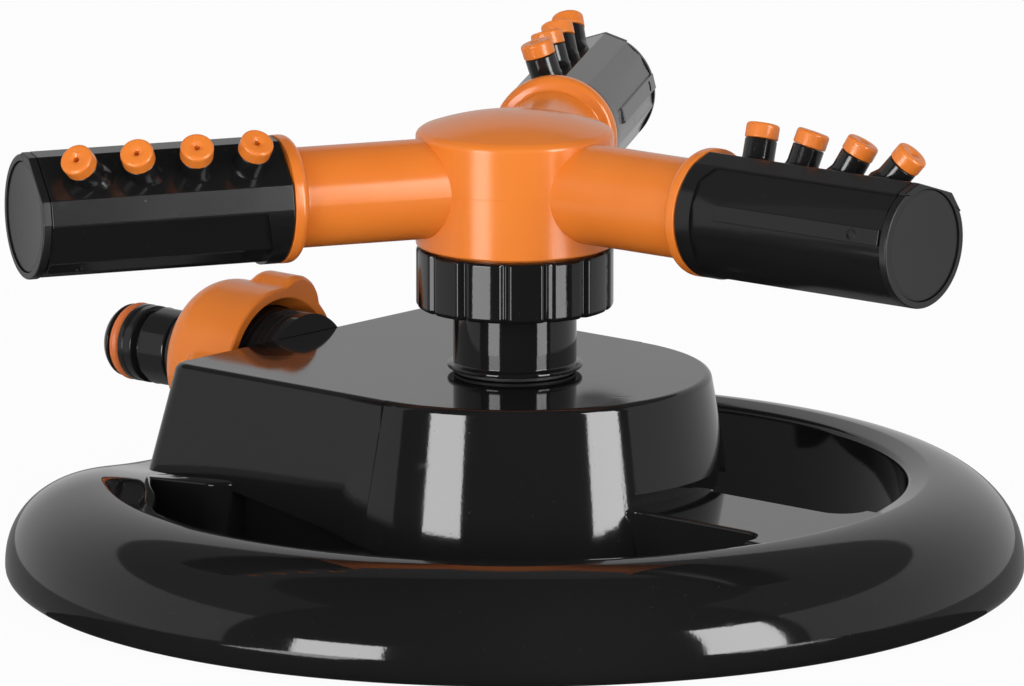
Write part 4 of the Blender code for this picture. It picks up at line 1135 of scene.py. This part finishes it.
def reflectionOnly(piece, level):
    sheet = Sheet(piece.name + "Paint")
    stagePiece(piece, sheet.end(glowShader(sheet, level)))
    for kind in ("camera", "diffuse", "shadow", "transmission"):
        setattr(piece, "visible_" + kind, False)


def sweptCard(name, start, end, first, last, level):
    # a line between two places (radius, height), swept round the object
    outward = Vector((cos(start), sin(start), 0))
    points = [outward * radius + Vector((0, 0, height)) for radius, height in (first, last)]
    card = drawLine(name, points, False)
    # without a window, spin runs the other way round
    bpy.ops.mesh.spin(steps=studio["cardSteps"], angle=start - end, center=(0, 0, 0), axis=(0, 0, 1))
    endEdit()
    reflectionOnly(card, level)


deselectAll()
bpy.ops.mesh.primitive_plane_add(size=studio["floor"], location=(0, 0, -studio["floorDrop"]))
stagePiece(nameNew("studioFloor"), floorPaint())

front, back = studio["frontStart"], studio["frontEnd"]
turnEnd = front + 2 * pi
edge, inner, ground = studio["wallRadius"], studio["inner"], -studio["cardDrop"]
grey, high = studio["greyHeight"], studio["wallHeight"]
sweptCard("frontCard", front, back, (edge, 0), (edge, high), studio["dark"])
sweptCard("backCard", back, turnEnd, (edge, 0), (edge, grey), studio["grey"])
sweptCard("upperCard", back, turnEnd, (edge, grey), (edge, high), studio["upper"])
sweptCard("frontGround", front, back, (0, ground), (edge, ground), studio["dark"])
sweptCard("backGround", back, turnEnd, (inner, ground), (edge, ground), studio["grey"])
# painted shade: a darker disc on the ground round the object stands in for its shadow, seen only in
# reflections
sweptCard("shadowGround", back, turnEnd, (0, ground), (inner, ground), studio["shadowLevel"])
deselectAll()
bpy.ops.mesh.primitive_circle_add(vertices=64, radius=edge + 0.1, fill_type="NGON", location=(0, 0, high))
reflectionOnly(nameNew("ceilingCard"), studio["dark"])

for name, azimuth, distance, width, height, shine, power, stripStart in studio["softboxes"]:
    # painted reflection: the floor shows each softbox again, as a glowing strip seen only in reflections
    half = width / 2 / distance
    strip = (stripStart, 0), (distance, 0)
    sweptCard(name + "Strip", azimuth - half, azimuth + half, *strip, studio["paintedReflectionLevel"])
    outward = Vector((cos(azimuth), sin(azimuth), 0))
    spot = outward * distance + Vector((0, 0, height / 2))
    facing = outward.to_track_quat("Z", "Y").to_euler()
    deselectAll()
    bpy.ops.mesh.primitive_plane_add(size=1, location=spot, rotation=facing)
    panel = nameNew(name + "Panel")
    panel.scale = (width, height, 1)
    reflectionOnly(panel, shine)
    deselectAll()
    bpy.ops.object.light_add(type="AREA", location=spot, rotation=facing)
    lamp = bpy.context.object
    lamp.name = name
    lamp.data.shape = "RECTANGLE"
    lamp.data.size = width
    lamp.data.size_y = height
    lamp.data.energy = power
    lamp.visible_glossy = False


def skyLight():
    # white to the camera and in reflections; to the rest, brighter toward the front and the horizon
    sheet = Sheet("sky", bpy.data.worlds.new("studioWorld"))
    bpy.context.scene.world = sheet.owner
    seen = seenDirectly(sheet)
    ray = Signal(sheet, sheet.spot.socket.node.outputs["Generated"])
    parts = sheet.node("ShaderNodeSeparateXYZ", None, {0: ray}).socket.node.outputs
    toward, height = Signal(sheet, parts["Y"]), Signal(sheet, parts["Z"])
    ahead = sheet.sum("MAXIMUM", 0 - toward, 0.0) * sheet.sum("MAXIMUM", 1 - height, 0.0)
    level = studio["sky"] + ahead * studio["front"]
    strength = level + seen * (1 - level)
    sky = sheet.node("ShaderNodeBackground", None, {"Color": (1, 1, 1, 1), "Strength": strength})
    sheet.end(sky, "ShaderNodeOutputWorld")


skyLight()

deselectAll()
bpy.ops.object.camera_add(location=(-0.0003, -2.5, 0.565), rotation=(radians(90 - 11.6), 0, 0))
camera = bpy.context.object
camera.name = "photoCamera"
camera.data.lens = 407.8
camera.data.sensor_width = 36
camera.data.shift_x = -1.5 / 1024  # 1.5 of the photo's pixels
camera.data.clip_end = 100
bpy.context.scene.camera = camera
bpy.context.scene.view_settings.view_transform = "Standard"
print("studio set")
